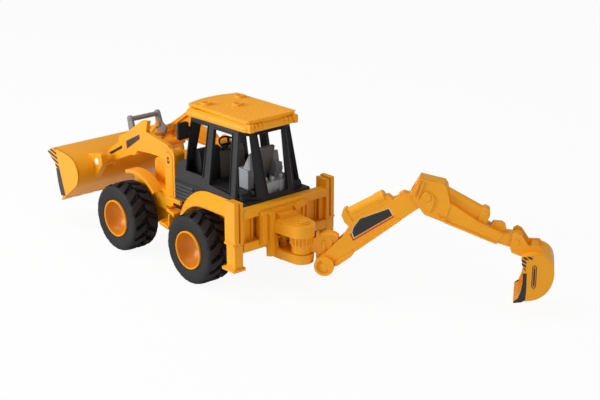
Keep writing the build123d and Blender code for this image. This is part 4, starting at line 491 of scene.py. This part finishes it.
rib = bmesh.new()
loft(rib, [[Vector((x, y, z)) for y, z in ((-1.5, 145.3), (1.5, 145.3), (0.8, 146.0), (-0.8, 146.0))]
           for x in (-38.8, 40.2)])
ribs = repeated(rib, rib_row, Count=rib_count, Pitch=rib_pitch, Material=yellow_cap)
carried = bpy.data.meshes.new("ribs")
ribs.to_mesh(carried)
ribs.free()
roof.from_mesh(carried)


def lathe(mesh, centre, section, around=32, closed=False):
    """Turn a section of (radius, height) pairs about an upright axis through a centre."""
    loft(mesh, [[Vector((centre[0] + r * math.cos(2 * math.pi * k / around),
                         centre[1] + r * math.sin(2 * math.pi * k / around), z))
                 for k in range(around)] for r, z in section], closed)


eye_section = ((2.4, 145.2), (5.4, 145.2), (5.4, 146.2), (4.8, 146.3), (4.6, 147.6), (4.2, 147.9),
               (2.9, 147.9), (2.4, 147.5))
for centre in ((26.0, 18.5), (26.0, -18.5), (6.6, 0.0)):
    lathe(roof, centre, eye_section, closed=True)


def brick(mesh, low, high):
    """A block between two corners."""
    rings = []
    for x in (low[0], high[0]):
        rings.append([Vector((x, y, z)) for y, z in ((low[1], low[2]), (high[1], low[2]), (high[1], high[2]),
                                                     (low[1], high[2]))])
    loft(mesh, rings)


for low, high in ((23.0, 27.6), (-25.0, -21.0)):
    brick(roof, (-43.0, low, 136.4), (-37.0, high, 143.4))
for sign in sides.values():
    for y in (20.6, 16.4, 12.2):
        brick(roof, (-43.2, sign * y - 1.3, 139.6), (-40.0, sign * y + 1.3, 142.6))
finished("cab_roof_cap", roof, yellow_cap, "machine", ("cab_roof",), 0.25)

# ---- Inside of the cab ---------------------------------------------------------------------
# Seat, operator's console and trim, moulded in silver and dark grey ABS and pressed into the
# black floor. The seat faces forward and the lever console stands behind it.



def bar(mesh, low, high, spine):
    """A sheet between two y values along a chain of x, z and the thickness in x and in z."""
    loft(mesh, [[Vector((x, low, z)), Vector((x, high, z)), Vector((x + dx, high, z + dz)),
                 Vector((x + dx, low, z + dz))] for x, z, dx, dz in spine])


seat = bmesh.new()
bar(seat, -14.6, 1.2, ((-25.0, 114.2, 3.4, 0.6), (-24.0, 108.0, 3.4, 0.4), (-19.6, 94.0, 3.6, 0.8),
                       (-16.6, 87.4, 3.4, 2.4)))
bar(seat, -12.0, 6.0, ((-17.0, 84.6, 0.0, 4.2), (-6.0, 84.0, 0.0, 3.2), (4.4, 85.0, 0.0, 2.6)))
lathe(seat, (-8.0, -2.0), ((5.4, 77.2), (5.4, 79.0), (3.4, 80.0), (3.4, 85.0)))
finished("driver_seat", seat, grey_abs, "machine", ("seat",), 0.5)

console = bmesh.new()
# low wide console with a notch in its rear face
brick(console, (-39.4, 1.4, 75.6), (-32.0, 9.4, 88.2))
brick(console, (-39.4, -14.0, 75.6), (-32.0, -7.0, 88.2))
brick(console, (-38.6, -7.4, 80.4), (-32.0, 1.8, 88.0))
brick(console, (-36.6, -16.0, 75.6), (-31.0, 12.0, 84.0))
for x, y, z, r in ((-37.4, -0.4, 88.0, 2.0), (-36.8, 6.2, 88.0, 1.7), (-36.6, -11.0, 88.0, 1.8)):
    knob = ((r * 0.6, z - 0.4), (r * 0.6, z + 1.6), (r, z + 2.6), (r, z + 4.0), (r * 0.7, z + 4.8))
    lathe(console, (x, y), knob, 20)
# bracket right of the seat with two knobs
bar(console, -22.0, -15.6, ((-22.0, 98.0, 2.6, 0.6), (-21.0, 104.0, 2.6, 0.6), (-20.0, 108.0, 2.6, -0.6)))
lathe(console, (-24.4, -16.8), ((1.0, 95.0), (2.0, 96.2), (2.0, 99.0), (1.2, 100.4)), 18)
lathe(console, (-25.6, -20.4), ((1.0, 91.0), (1.8, 92.2), (1.8, 94.6), (1.0, 95.8)), 18)
brick(console, (-26.0, -22.0, 82.0), (-16.0, -15.0, 98.4))
# round base in the left rear corner
lathe(console, (-22.4, 17.4), ((8.6, 75.6), (8.6, 78.0), (7.6, 79.2), (4.0, 79.4), (3.6, 80.6)), 36)
# block and pale pointed wedge left of the seat
brick(console, (-28.0, 12.0, 82.0), (-16.0, 18.0, 98.4))
brick(console, (-29.2, 11.4, 97.2), (-15.4, 18.6, 99.4))
wedge = ((-30.4, 99.2), (-20.6, 99.2), (-29.4, 114.6), (-30.6, 114.4))
loft(console, [[Vector((x, y, z)) for x, z in wedge] for y in (11.0, 17.4)])
# light piece in the right rear corner
lathe(console, (-30.0, -24.6), ((3.0, 75.8), (3.0, 84.0), (2.0, 86.4), (2.4, 88.0), (1.2, 89.6)), 20)
finished("lever_block", console, silver_abs, "machine", ("lever_console",), 0.35)

wheel = bmesh.new()
# dash, column and wheel
bar(wheel, 3.0, 26.0, ((24.8, 76.0, 17.0, 0.0), (25.6, 96.0, 15.0, 0.0), (27.4, 104.4, 10.6, -2.0),
                       (31.0, 106.0, 5.0, -1.0)))
binnacle = bmesh.new()
bar(binnacle, -22.0, 5.4, ((24.0, 76.0, 17.0, 0.0), (25.0, 99.4, 13.0, 0.0), (28.6, 102.8, 8.0, -1.0)))
tilt = math.radians(28)
wheel_radius = 8.6
wheel_grip = 0.9  # half the thickness of the rim
hub = Vector((20.8, -1.0, 108.6))
wheel_up = Vector((-math.sin(tilt), 0, math.cos(tilt)))


def spoke_way(a):
    """Direction from the hub to the rim at an angle round the wheel."""
    return Vector((math.cos(a) * math.cos(tilt), math.sin(a), math.cos(a) * math.sin(tilt)))


grip = [(math.cos(2 * math.pi * k / 10) * wheel_grip, math.sin(2 * math.pi * k / 10) * wheel_grip)
        for k in range(10)]
loft(wheel, [[hub + spoke_way(2 * math.pi * k / 40) * (wheel_radius + r) + wheel_up * u for r, u in grip]
             for k in range(40)], closed=True)
spoke_section = ((-1, -0.5), (1, -0.5), (1, 0.5), (-1, 0.5))
for a in (90, 210, 330):
    out = spoke_way(math.radians(a))
    across = wheel_up.cross(out)
    loft(wheel, [[hub + out * r + across * w + wheel_up * u for w, u in spoke_section] for r in (0.0, 8.4)])
column_top = ((-1.6, -1.6), (1.6, -1.6), (1.6, 1.6), (-1.6, 1.6))
column_foot = ((-1.6, 96.0), (-1.6, 100.0), (1.6, 100.0), (1.6, 96.0))
loft(wheel, [[hub + Vector((x, y, 0.8)) for x, y in column_top],
             [Vector((31.0, y, z)) for y, z in column_foot]])
finished("dash_binnacle", binnacle, grey_abs, "machine", (), 0.4)
finished("dash_and_wheel", wheel, black_abs, "machine", ("steering_wheel",), 0.25)

# ---- Closing wall behind the rear frame ----------------------------------------------------
# Part of the yellow rear moulding: a plain wall with one upright rib that closes each outer
# bay behind the slide beams.

closing = bmesh.new()
for sign in sides.values():
    a, b = sorted((sign * 30.6, sign * 45.9))
    brick(closing, (-47.4, a, 47.4), (-46.0, b, 70.2))
    a, b = sorted((sign * 39.2, sign * 40.4))
    brick(closing, (-49.4, a, 47.4), (-47.2, b, 70.2))
finished("rear_bay_walls", closing, yellow_abs, "machine", (), 0.2)

# ---- Loader tower cheeks -------------------------------------------------------------------
# Outer cheek of each tower, part of the yellow body moulding: a tall pad with a groove and a
# raised border round it, and a keyhole through which the arm's pivot pin is pressed.


def arc(cx, cz, radius, first, last, count):
    """Points of an arc, angles in degrees."""
    turns = [math.radians(first + (last - first) * k / (count - 1)) for k in range(count)]
    return [(cx + radius * math.cos(a), cz + radius * math.sin(a)) for a in turns]


def upright(points, y):
    """Side outline (x, z) at a distance y from the centre line."""
    return [Vector((x, y, z)) for x, z in points]


cheeks = bmesh.new()
recess = bmesh.new()
for sign in sides.values():
    base = [(70.4, 44.0), *arc(64.4, 95.0, 6.0, 0, 110, 6), *arc(61.6, 95.2, 5.8, 110, 180, 4), (55.8, 44.0)]
    loft(cheeks, [upright(base, sign * y) for y in (30.9, 31.5)])
    # raised border down the rear edge and over the top
    outer = [(55.8, 52.0), (55.8, 92.0), *arc(61.6, 95.2, 5.8, 180, 110, 4),
             *arc(64.4, 95.0, 6.0, 110, 30, 5)]
    inner = [(58.4, 52.0), (58.4, 92.0), *arc(62.4, 94.0, 3.9, 180, 110, 4),
             *arc(64.6, 93.6, 3.7, 110, 30, 5)]
    for border in zip(outer, outer[1:], inner[1:], inner):
        loft(cheeks, [upright(border, sign * y) for y in (31.4, 32.4)])
    # pad with the keyhole
    hole = [(67.4, 88.6), (67.4, 90.4), (66.6, 92.0), (65.9, 92.6), (65.1, 92.6), (64.2, 91.8),
            (63.6, 90.4), (63.6, 88.2), (64.2, 86.8), (65.3, 86.1), (66.4, 86.4), (67.1, 87.4)]
    edge = [(70.4, 88.0), (70.4, 91.0), (70.1, 93.2), (67.0, 96.2), (63.4, 96.2), (60.4, 93.4),
            (59.4, 90.6), (59.4, 86.0), (59.4, 82.4), (63.0, 82.4), (67.0, 82.4), (70.4, 82.4)]
    loft(cheeks, [upright(edge, sign * 32.2), upright(hole, sign * 32.2), upright(hole, sign * 31.0),
                  upright(edge, sign * 31.0)], closed=True)
    shank = ((59.4, 46.0), (70.4, 46.0), (70.4, 82.4), (59.4, 82.4))
    loft(cheeks, [upright(shank, sign * y) for y in (31.4, 32.2)])
    loft(recess, [upright(hole, sign * y) for y in (31.48, 31.56)])
    loft(cheeks, [upright(arc(65.7, 89.4, 1.1, 0, 330, 12), sign * y) for y in (31.4, 32.0)])
finished("tower_cheeks", cheeks, yellow_cap, "machine", (), 0.3)
finished("tower_keyholes", recess, black_abs, "machine", (), 0)

# ---- Side panels ---------------------------------------------------------------------------
# Black ABS panels under the doors, cut round behind the rear wheel's arch. Each has a row of
# level louvres, moulded in, and clips on under the sill.

louvre_count = 5
louvre_pitch = 3.3
arch_radius = 36.9  # the rear arch, about the rear axle
louvre_section = ((35.6, 58.9), (37.5, 59.1), (36.6, 61.4), (35.6, 61.4))

louvre_row, given, result = node_group("louvres_in_a_stack", Count=louvre_count, Pitch=louvre_pitch,
                                       Material=black_abs)
line = add(louvre_row, "GeometryNodePoints", {"Count": given.outputs["Count"]})
index = add(louvre_row, "GeometryNodeInputIndex")
height = add(louvre_row, "ShaderNodeMath", {0: index.outputs[0], 1: given.outputs["Pitch"]},
             operation="MULTIPLY")
spot = add(louvre_row, "ShaderNodeCombineXYZ", {"Z": height.outputs[0]})
spread = add(louvre_row, "GeometryNodeSetPosition",
             {"Geometry": line.outputs[0], "Position": spot.outputs[0]})
copies(louvre_row, given, result, spread)

for hand, sign in sides.items():
    louvre = bmesh.new()
    loft(louvre, [[Vector((x, sign * y, z)) for y, z in louvre_section] for x in (24.0, 49.6)])
    panel = repeated(louvre, louvre_row, Count=louvre_count, Pitch=louvre_pitch, Material=black_abs)
    arch = arc(0.0, tyre_radius, arch_radius, 31, 59, 8)
    outline = [(50.4, 50.0), *arch, (18.4, 74.3), (50.4, 74.3)]
    loft(panel, [upright(outline, sign * y) for y in (31.6, 36.2)])
    finished(f"side_louvres_{hand}", panel, black_abs, "machine", (f"side_panel_{hand}",),
             0.2)

# ---- Hub rims ------------------------------------------------------------------------------
# The raised lip round the mouth of each hub, in the body's yellow; the darker orange of the bowl behind it is
# painted shade.

for end, at in (("rear", 0.0), ("front", front_axle_x)):
    rims = bmesh.new()
    turns = [2 * math.pi * k / 64 for k in range(64)]
    for sign in sides.values():
        section = ((15.5, 61.4), (15.5, 62.35), (15.9, 62.75), (16.4, 62.75), (16.8, 62.3), (16.8, 61.4))
        loft(rims, [[Vector((at + r * math.cos(a), sign * y, tyre_radius + r * math.sin(a)))
                     for r, y in section] for a in turns], closed=True)
    finished(f"hub_rims_{end}", rims, yellow_cap, f"{end}_wheels", (), 0)

# ---- Footsteps -----------------------------------------------------------------------------
# Two yellow ABS trays on each side with turned-up rims, a riser between them and a block that
# carries the upper tray under the side panel. Moulded in one and clipped to the body.



def tray(mesh, sign, plan, low, thick, rim, wide=1.3):
    """A slab with a turned-up rim along every edge but the last."""
    loft(mesh, [[Vector((x, sign * y, z)) for x, y in plan] for z in (low, low + thick)])
    middle = sum((Vector((*p, 0)) for p in plan), Vector()) / len(plan)
    for start, end in zip(plan, plan[1:]):
        start, end = Vector((*start, 0)), Vector((*end, 0))
        inner = (end - start).normalized().cross(Vector((0, 0, 1)))
        if inner.dot(middle - start) < 0:
            inner = -inner
        corners = (start, end, end + inner * wide, start + inner * wide)
        loft(mesh, [[Vector((p.x, sign * p.y, z)) for p in corners] for z in (low + 0.05, low + rim)])


for hand, sign in sides.items():
    steps = bmesh.new()
    tray(steps, sign, ((64.6, 27.2), (64.6, 44.4), (46.6, 48.0), (46.6, 31.4)), 33.0, 1.5, 3.2)
    tray(steps, sign, ((57.6, 31.6), (57.6, 41.6), (39.6, 46.8), (39.6, 31.6)), 46.2, 1.4, 3.4)
    riser = ((31.4, 33.2), (31.4, 47.0), (46.4, 47.0), (46.4, 33.2))
    loft(steps, [[Vector((x, sign * y, z)) for y, z in riser] for x in (46.8, 48.4)])
    block, ledge = (40.4, 57.4, 38.8, 55.0, 58.6), (40.0, 57.8, 39.6, 57.4, 59.2)
    for low_x, high_x, outer_y, low_z, high_z in (block, ledge):
        a, b = sorted((sign * 31.4, sign * outer_y))
        brick(steps, (low_x, a, low_z), (high_x, b, high_z))
    finished(f"footstep_trays_{hand}", steps, yellow_cap, "machine", (f"footstep_{hand}",),
             0.35)

# ---- Loader bucket -------------------------------------------------------------------------
# One yellow ABS moulding: a smooth curved back with end plates, two ears for the arm pins and
# two brackets for the tip links. The cutting edge is a separate strip along the lip.


def smooth(points, steps=5):
    """A soft curve through a chain of points."""
    chain = [Vector(p) for p in points]
    ends = [2 * chain[0] - chain[1], *chain, 2 * chain[-1] - chain[-2]]
    curve = []
    for i in range(1, len(ends) - 2):
        a, b, c, d = ends[i - 1:i + 3]
        for k in range(steps):
            t = k / steps
            curve.append(0.5 * (2 * b + (c - a) * t + (2 * a - 5 * b + 4 * c - d) * t * t
                                + (3 * b - a - 3 * c + d) * t ** 3))
    return curve + [chain[-1]]


back_line = smooth([(191.6, 29.0), (186.7, 32.8), (177.0, 40.3), (169.6, 46.6), (166.4, 53.6), (166.9, 61.0),
                    (170.4, 67.2), (176.4, 71.2), (183.2, 73.0), (190.2, 73.9), (202.2, 74.6), (209.5, 74.1),
                    (216.5, 69.6)])
bucket_wall = 2.0
inner_line = []
for k, point in enumerate(back_line):
    run = (back_line[min(k + 1, len(back_line) - 1)] - back_line[max(k - 1, 0)]).normalized()
    inner_line.append(point + Vector((run.y, -run.x)) * bucket_wall)
skin_loop = [tuple(p) for p in back_line] + [tuple(p) for p in reversed(inner_line)]
bucket = bmesh.new()
rows = [[bucket.verts.new((x, y, z)) for x, z in skin_loop] for y in (-61.9, 61.9)]
count = len(skin_loop)
for k in range(count):
    j = (k + 1) % count
    bucket.faces.new((rows[0][k], rows[0][j], rows[1][j], rows[1][k]))
half_count = len(back_line)
for row in rows:
    for k in range(half_count - 1):
        bucket.faces.new((row[k], row[k + 1], row[count - 2 - k], row[count - 1 - k]))
mouth = [(204.6, 60.6), (203.3, 56.0), (200.8, 42.0), (197.2, 30.2)]
for sign in sides.values():
    plate = [tuple(p) for p in back_line] + mouth
    loft(bucket, [upright(plate, sign * y) for y in (60.0, 62.0)])
    ear = [(179.0, 71.6), (158.6, 76.2), (156.0, 75.2), (155.0, 72.6), (154.6, 66.0), (168.0, 48.6),
           (169.0, 50.0), (167.6, 56.0), (168.7, 61.0), (171.2, 66.0), (176.4, 70.4)]
    loft(bucket, [upright(ear, sign * y) for y in (36.1, 42.5)])
    bracket = [(182.0, 72.2), (169.0, 79.8), (163.0, 79.8), (162.4, 73.2), (168.2, 66.8), (171.2, 66.8),
               (176.4, 70.2)]
    loft(bucket, [upright(bracket, sign * y) for y in (9.9, 11.9)])
bead = [(170.0, 45.9), (184.6, 34.5), (185.2, 35.4), (170.0, 47.4)]
for y in (-50.0, -24.0, 0.0, 24.0, 50.0):
    loft(bucket, [upright(bead, y + d) for d in (-1.2, 1.2)])
finished("loader_bucket_shell", bucket, yellow_cap, "loader_bucket", ("loader_bucket",),
         0.3)

# ---- Pin heads -----------------------------------------------------------------------------
# Near-white rivet heads that close the bucket pins on the outside of each ear; their near-white is a painted
# highlight on each pin end.

heads = bmesh.new()
for sign in sides.values():
    loft(heads, [upright(arc(162.5, 67.6, r, 0, 345, 24), sign * y)
                 for r, y in ((3.3, 42.55), (3.3, 43.0), (2.6, 43.5), (1.0, 43.7))])
finished("bucket_pin_heads", heads, pin_head_painted_highlight, "loader", (), 0)

# ---- Tip handle ----------------------------------------------------------------------------
# The yoke that tips the bucket by hand, moulded in mid grey ABS: two broad round-ended plates
# joined by a bar.

handle = bmesh.new()
for sign in sides.values():
    plate = [*arc(145.1, 107.0, 3.7, 10, 170, 7), (138.4, 100.0), (131.2, 96.6), (131.6, 94.2),
             (135.8, 86.6), (140.6, 85.8), (144.4, 89.6), (146.4, 97.0)]
    loft(handle, [upright(plate, sign * y) for y in (14.2, 16.8)])
    loft(handle, [upright(arc(145.1, 107.0, 1.5, 0, 330, 12), sign * y) for y in (16.7, 17.2)])
loft(handle, [upright(arc(145.1, 107.0, 2.3, 0, 345, 24), y) for y in (-14.4, 14.4)])
finished("tip_handle_yoke", handle, handle_abs, "tip_handle", ("tip_handle",), 0.5)

# ---- Stickers ------------------------------------------------------------------------------
# Printed vinyl stickers, pressed on: black and yellow warning stripes on the buckets, bare
# dark panels with a thin border on the arms. They carry no words.


def printed(name, code, roughness=0.42):
    """Printed vinyl: an even ink with a slight gloss and faint print mottling."""
    material, tree = blank(name)
    place = add(tree, "ShaderNodeTexCoord")
    ink = add(tree, "ShaderNodeTexNoise", {"Vector": place.outputs["Object"], "Scale": 700.0, "Detail": 2.0})
    tone = add(tree, "ShaderNodeMapRange", {0: ink.outputs[0], 1: 0.3, 2: 0.7, 3: 0.92, 4: 1.06})
    colour = add(tree, "ShaderNodeMix", {0: 1.0, 6: linear(code), 7: tone.outputs[0]},
                 data_type="RGBA", blend_type="MULTIPLY")
    shader = add(tree, "ShaderNodeBsdfPrincipled", {"Base Color": colour.outputs[2], "Roughness": roughness,
                                                    "Coat Weight": 0.25, "Coat Roughness": 0.2})
    add(tree, "ShaderNodeOutputMaterial", {"Surface": shader.outputs[0]})
    return material


# Vinyl with black ink: near black with a slight gloss.
black_ink = printed("vinyl_printed_black", "161515")
# Vinyl with signal red ink.
red_ink = printed("vinyl_printed_red", "C22A18")
# Vinyl left white, for the thin borders.
white_ink = printed("vinyl_printed_white", "E9E4DA")


def plane(origin, right, up):
    """Matrix of a sketch plane in machine mm: local x right, local y up, local z out."""
    right, up = Vector(right).normalized(), Vector(up).normalized()
    out = right.cross(up)
    return Matrix.Translation(origin) @ Matrix((right, up, out)).transposed().to_4x4()


def patch(mesh, where, points, low, high):
    """A flat patch with the given outline, standing between two heights over a plane."""
    loft(mesh, [[where @ Vector((x, y, z)) for x, y in points] for z in (low, high)])


sunk, proud = 0.02, 0.12  # a sticker's inner and outer face over the plastic


def shrunk(points, middle, wide, tall):
    """An outline scaled about a middle point."""
    return [(middle[0] + (x - middle[0]) * wide, middle[1] + (y - middle[1]) * tall) for x, y in points]


def outward(where, way):
    """Which way to build on a plane so that a patch stands out towards a given side: 1 or -1."""
    return 1 if (where.to_3x3() @ Vector((0, 0, 1))).dot(way) > 0 else -1


swing = math.radians(-141.0)
arm_out = Vector((math.cos(swing), math.sin(swing), 0))
arm_foot = Vector((-80.9, 5.0, 0.0))
boom_up = math.radians(38.05)
boom_foot = arm_foot + arm_out * 20.1 + Vector((0, 0, 29.7))
boom_right = arm_out * math.cos(boom_up) + Vector((0, 0, math.sin(boom_up)))
boom_top = Vector((0, 0, math.cos(boom_up))) - arm_out * math.sin(boom_up)
boom_out = Vector((math.sin(swing), -math.cos(swing), 0))  # towards the arm's own left

inks = {"black": (black_ink, bmesh.new()), "red": (red_ink, bmesh.new()),
        "white": (white_ink, bmesh.new())}
panel_points = [(49.0, 15.5), (73.6, 9.0), (72.6, 2.9), (35.2, 5.4), (36.6, 9.8), (39.8, 12.4)]
for sign in sides.values():
    where = plane(boom_foot + boom_out * sign * 5.0, boom_right, boom_top)
    out = outward(where, boom_out * sign)
    patch(inks["white"][1], where, shrunk(panel_points, (53.4, 8.5), 1.03, 1.03), sunk * out, proud * out)
    patch(inks["black"][1], where, panel_points, sunk * out, 0.2 * out)
    for band in ([(32.6, 3.6), (33.9, 4.6), (35.4, 9.6), (34.2, 10.0)],
                 [(32.6, 3.4), (72.8, 0.9), (73.0, 1.9), (33.4, 4.5)]):
        patch(inks["red"][1], where, band, sunk * out, proud * out)
for name, (ink, mesh) in inks.items():
    finished(f"boom_sticker_{name}", mesh, ink, "boom", (), 0)


def stripes(mesh, where, outline, start, step, width, slope, low, high):
    """Slanting warning stripes cut to a convex outline on a plane."""
    xs = [x for x, y in outline]
    ys = [y for x, y in outline]
    k = start
    while k < max(ys) + abs(slope) * max(abs(x) for x in xs) + 1:
        left, right = min(xs) - 9, max(xs) + 9
        band = [(left, k + slope * left), (right, k + slope * right), (right, k + width + slope * right),
                (left, k + width + slope * left)]
        for (ax, ay), (bx, by) in zip(outline, outline[1:] + outline[:1]):
            kept = []
            for (px, py), (qx, qy) in zip(band, band[1:] + band[:1]):
                inside_p = (bx - ax) * (py - ay) - (by - ay) * (px - ax)
                inside_q = (bx - ax) * (qy - ay) - (by - ay) * (qx - ax)
                if inside_p >= 0:
                    kept.append((px, py))
                if inside_p * inside_q < 0:
                    t = inside_p / (inside_p - inside_q)
                    kept.append((px + (qx - px) * t, py + (qy - py) * t))
            band = kept
            if len(band) < 3:
                break
        if len(band) >= 3:
            patch(mesh, where, band, low, high)
        k += step


loader_ink = bmesh.new()
for sign in sides.values():
    where = plane((0, sign * 62.0, 0), (1, 0, 0), (0, 0, 1))
    out = -sign
    for zone in ([(204.6, 60.7), (216.4, 69.5), (209.5, 73.8), (202.8, 74.2)],
                 [(203.2, 56.4), (204.6, 60.7), (202.8, 74.2), (197.4, 57.2)]):
        stripes(loader_ink, where, zone, 1.0, 3.9, 2.2, 0.26, sunk * out, proud * out)
    front_strip = [(196.9, 30.4), (200.6, 42.0), (203.1, 56.0), (197.4, 56.8), (193.2, 43.6), (189.2, 31.6)]
    patch(loader_ink, where, front_strip, sunk * out, proud * out)
finished("loader_bucket_stripes", loader_ink, black_ink, "loader_bucket", (), 0)

arm_inks = {"red": (red_ink, bmesh.new()), "black": (black_ink, bmesh.new())}
for sign in sides.values():
    where = plane((0, sign * 28.0, 0), (1, 0, 0), (0, 0, 1))
    out = -sign
    label = [(112.6, 97.8), (113.4, 102.0), (135.4, 90.8), (134.2, 83.4)]
    patch(arm_inks["red"][1], where, label, sunk * out, 0.1 * out)
    patch(arm_inks["black"][1], where, shrunk(label, (123.8, 93.6), 0.9, 0.9), sunk * out, 0.16 * out)
    patch(arm_inks["black"][1], where, [(141.6, 82.4), (142.0, 85.2), (163.4, 73.4), (162.6, 71.0)],
          sunk * out, proud * out)
for name, (ink, mesh) in arm_inks.items():
    finished(f"loader_arm_sticker_{name}", mesh, ink, "loader", (), 0)

elbow = boom_foot + boom_right * 105.8
fold = math.radians(-24.9)
wrist = elbow + (arm_out * math.cos(fold) + Vector((0, 0, math.sin(fold)))) * 80.4
slot_outline = [(9.4, -17.0), (11.3, -14.8), (13.2, -17.0), (13.2, -33.6), (11.3, -35.8), (9.4, -33.6)]
slot_middle = (11.3, -25.3)
slot_inner = shrunk(slot_outline, slot_middle, 0.66, 0.93)
dig_ink = bmesh.new()
for sign in sides.values():
    lean = (arm_out * 27.5 - boom_out * sign * 5.0).normalized()
    where = plane(wrist + arm_out * 4.0 + boom_out * sign * 20.5, lean, (0, 0, 1))
    out = outward(where, boom_out * sign)
    low, high = sunk * out, proud * out
    for zone in ([(0.6, -10.6), (1.0, -16.0), (4.2, -20.4), (4.6, -11.2)],
                 [(0.4, -10.8), (9.2, -10.6), (9.8, -7.6), (1.6, -8.2)]):
        stripes(dig_ink, where, zone, -40.0, 3.2, 2.0, -0.7, low, high)
    edge_wedge = [(2.2, -22.4), (5.3, -22.1), (5.5, -36.9), (5.1, -45.0), (2.4, -47.2), (-4.2, -47.8),
                  (-4.3, -46.4), (-0.9, -43.6), (1.2, -37.5), (2.2, -30.5)]
    patch(dig_ink, where, edge_wedge, low, high)
    loft(dig_ink, [[where @ Vector((x, y, z)) for x, y in line] for line, z in
                   ((slot_outline, high), (slot_inner, high), (slot_inner, low), (slot_outline, low))],
         closed=True)
    patch(dig_ink, where, shrunk(slot_outline, slot_middle, 0.36, 0.82), low, high)
finished("dig_bucket_stripes", dig_ink, black_ink, "dig_bucket", (), 0)
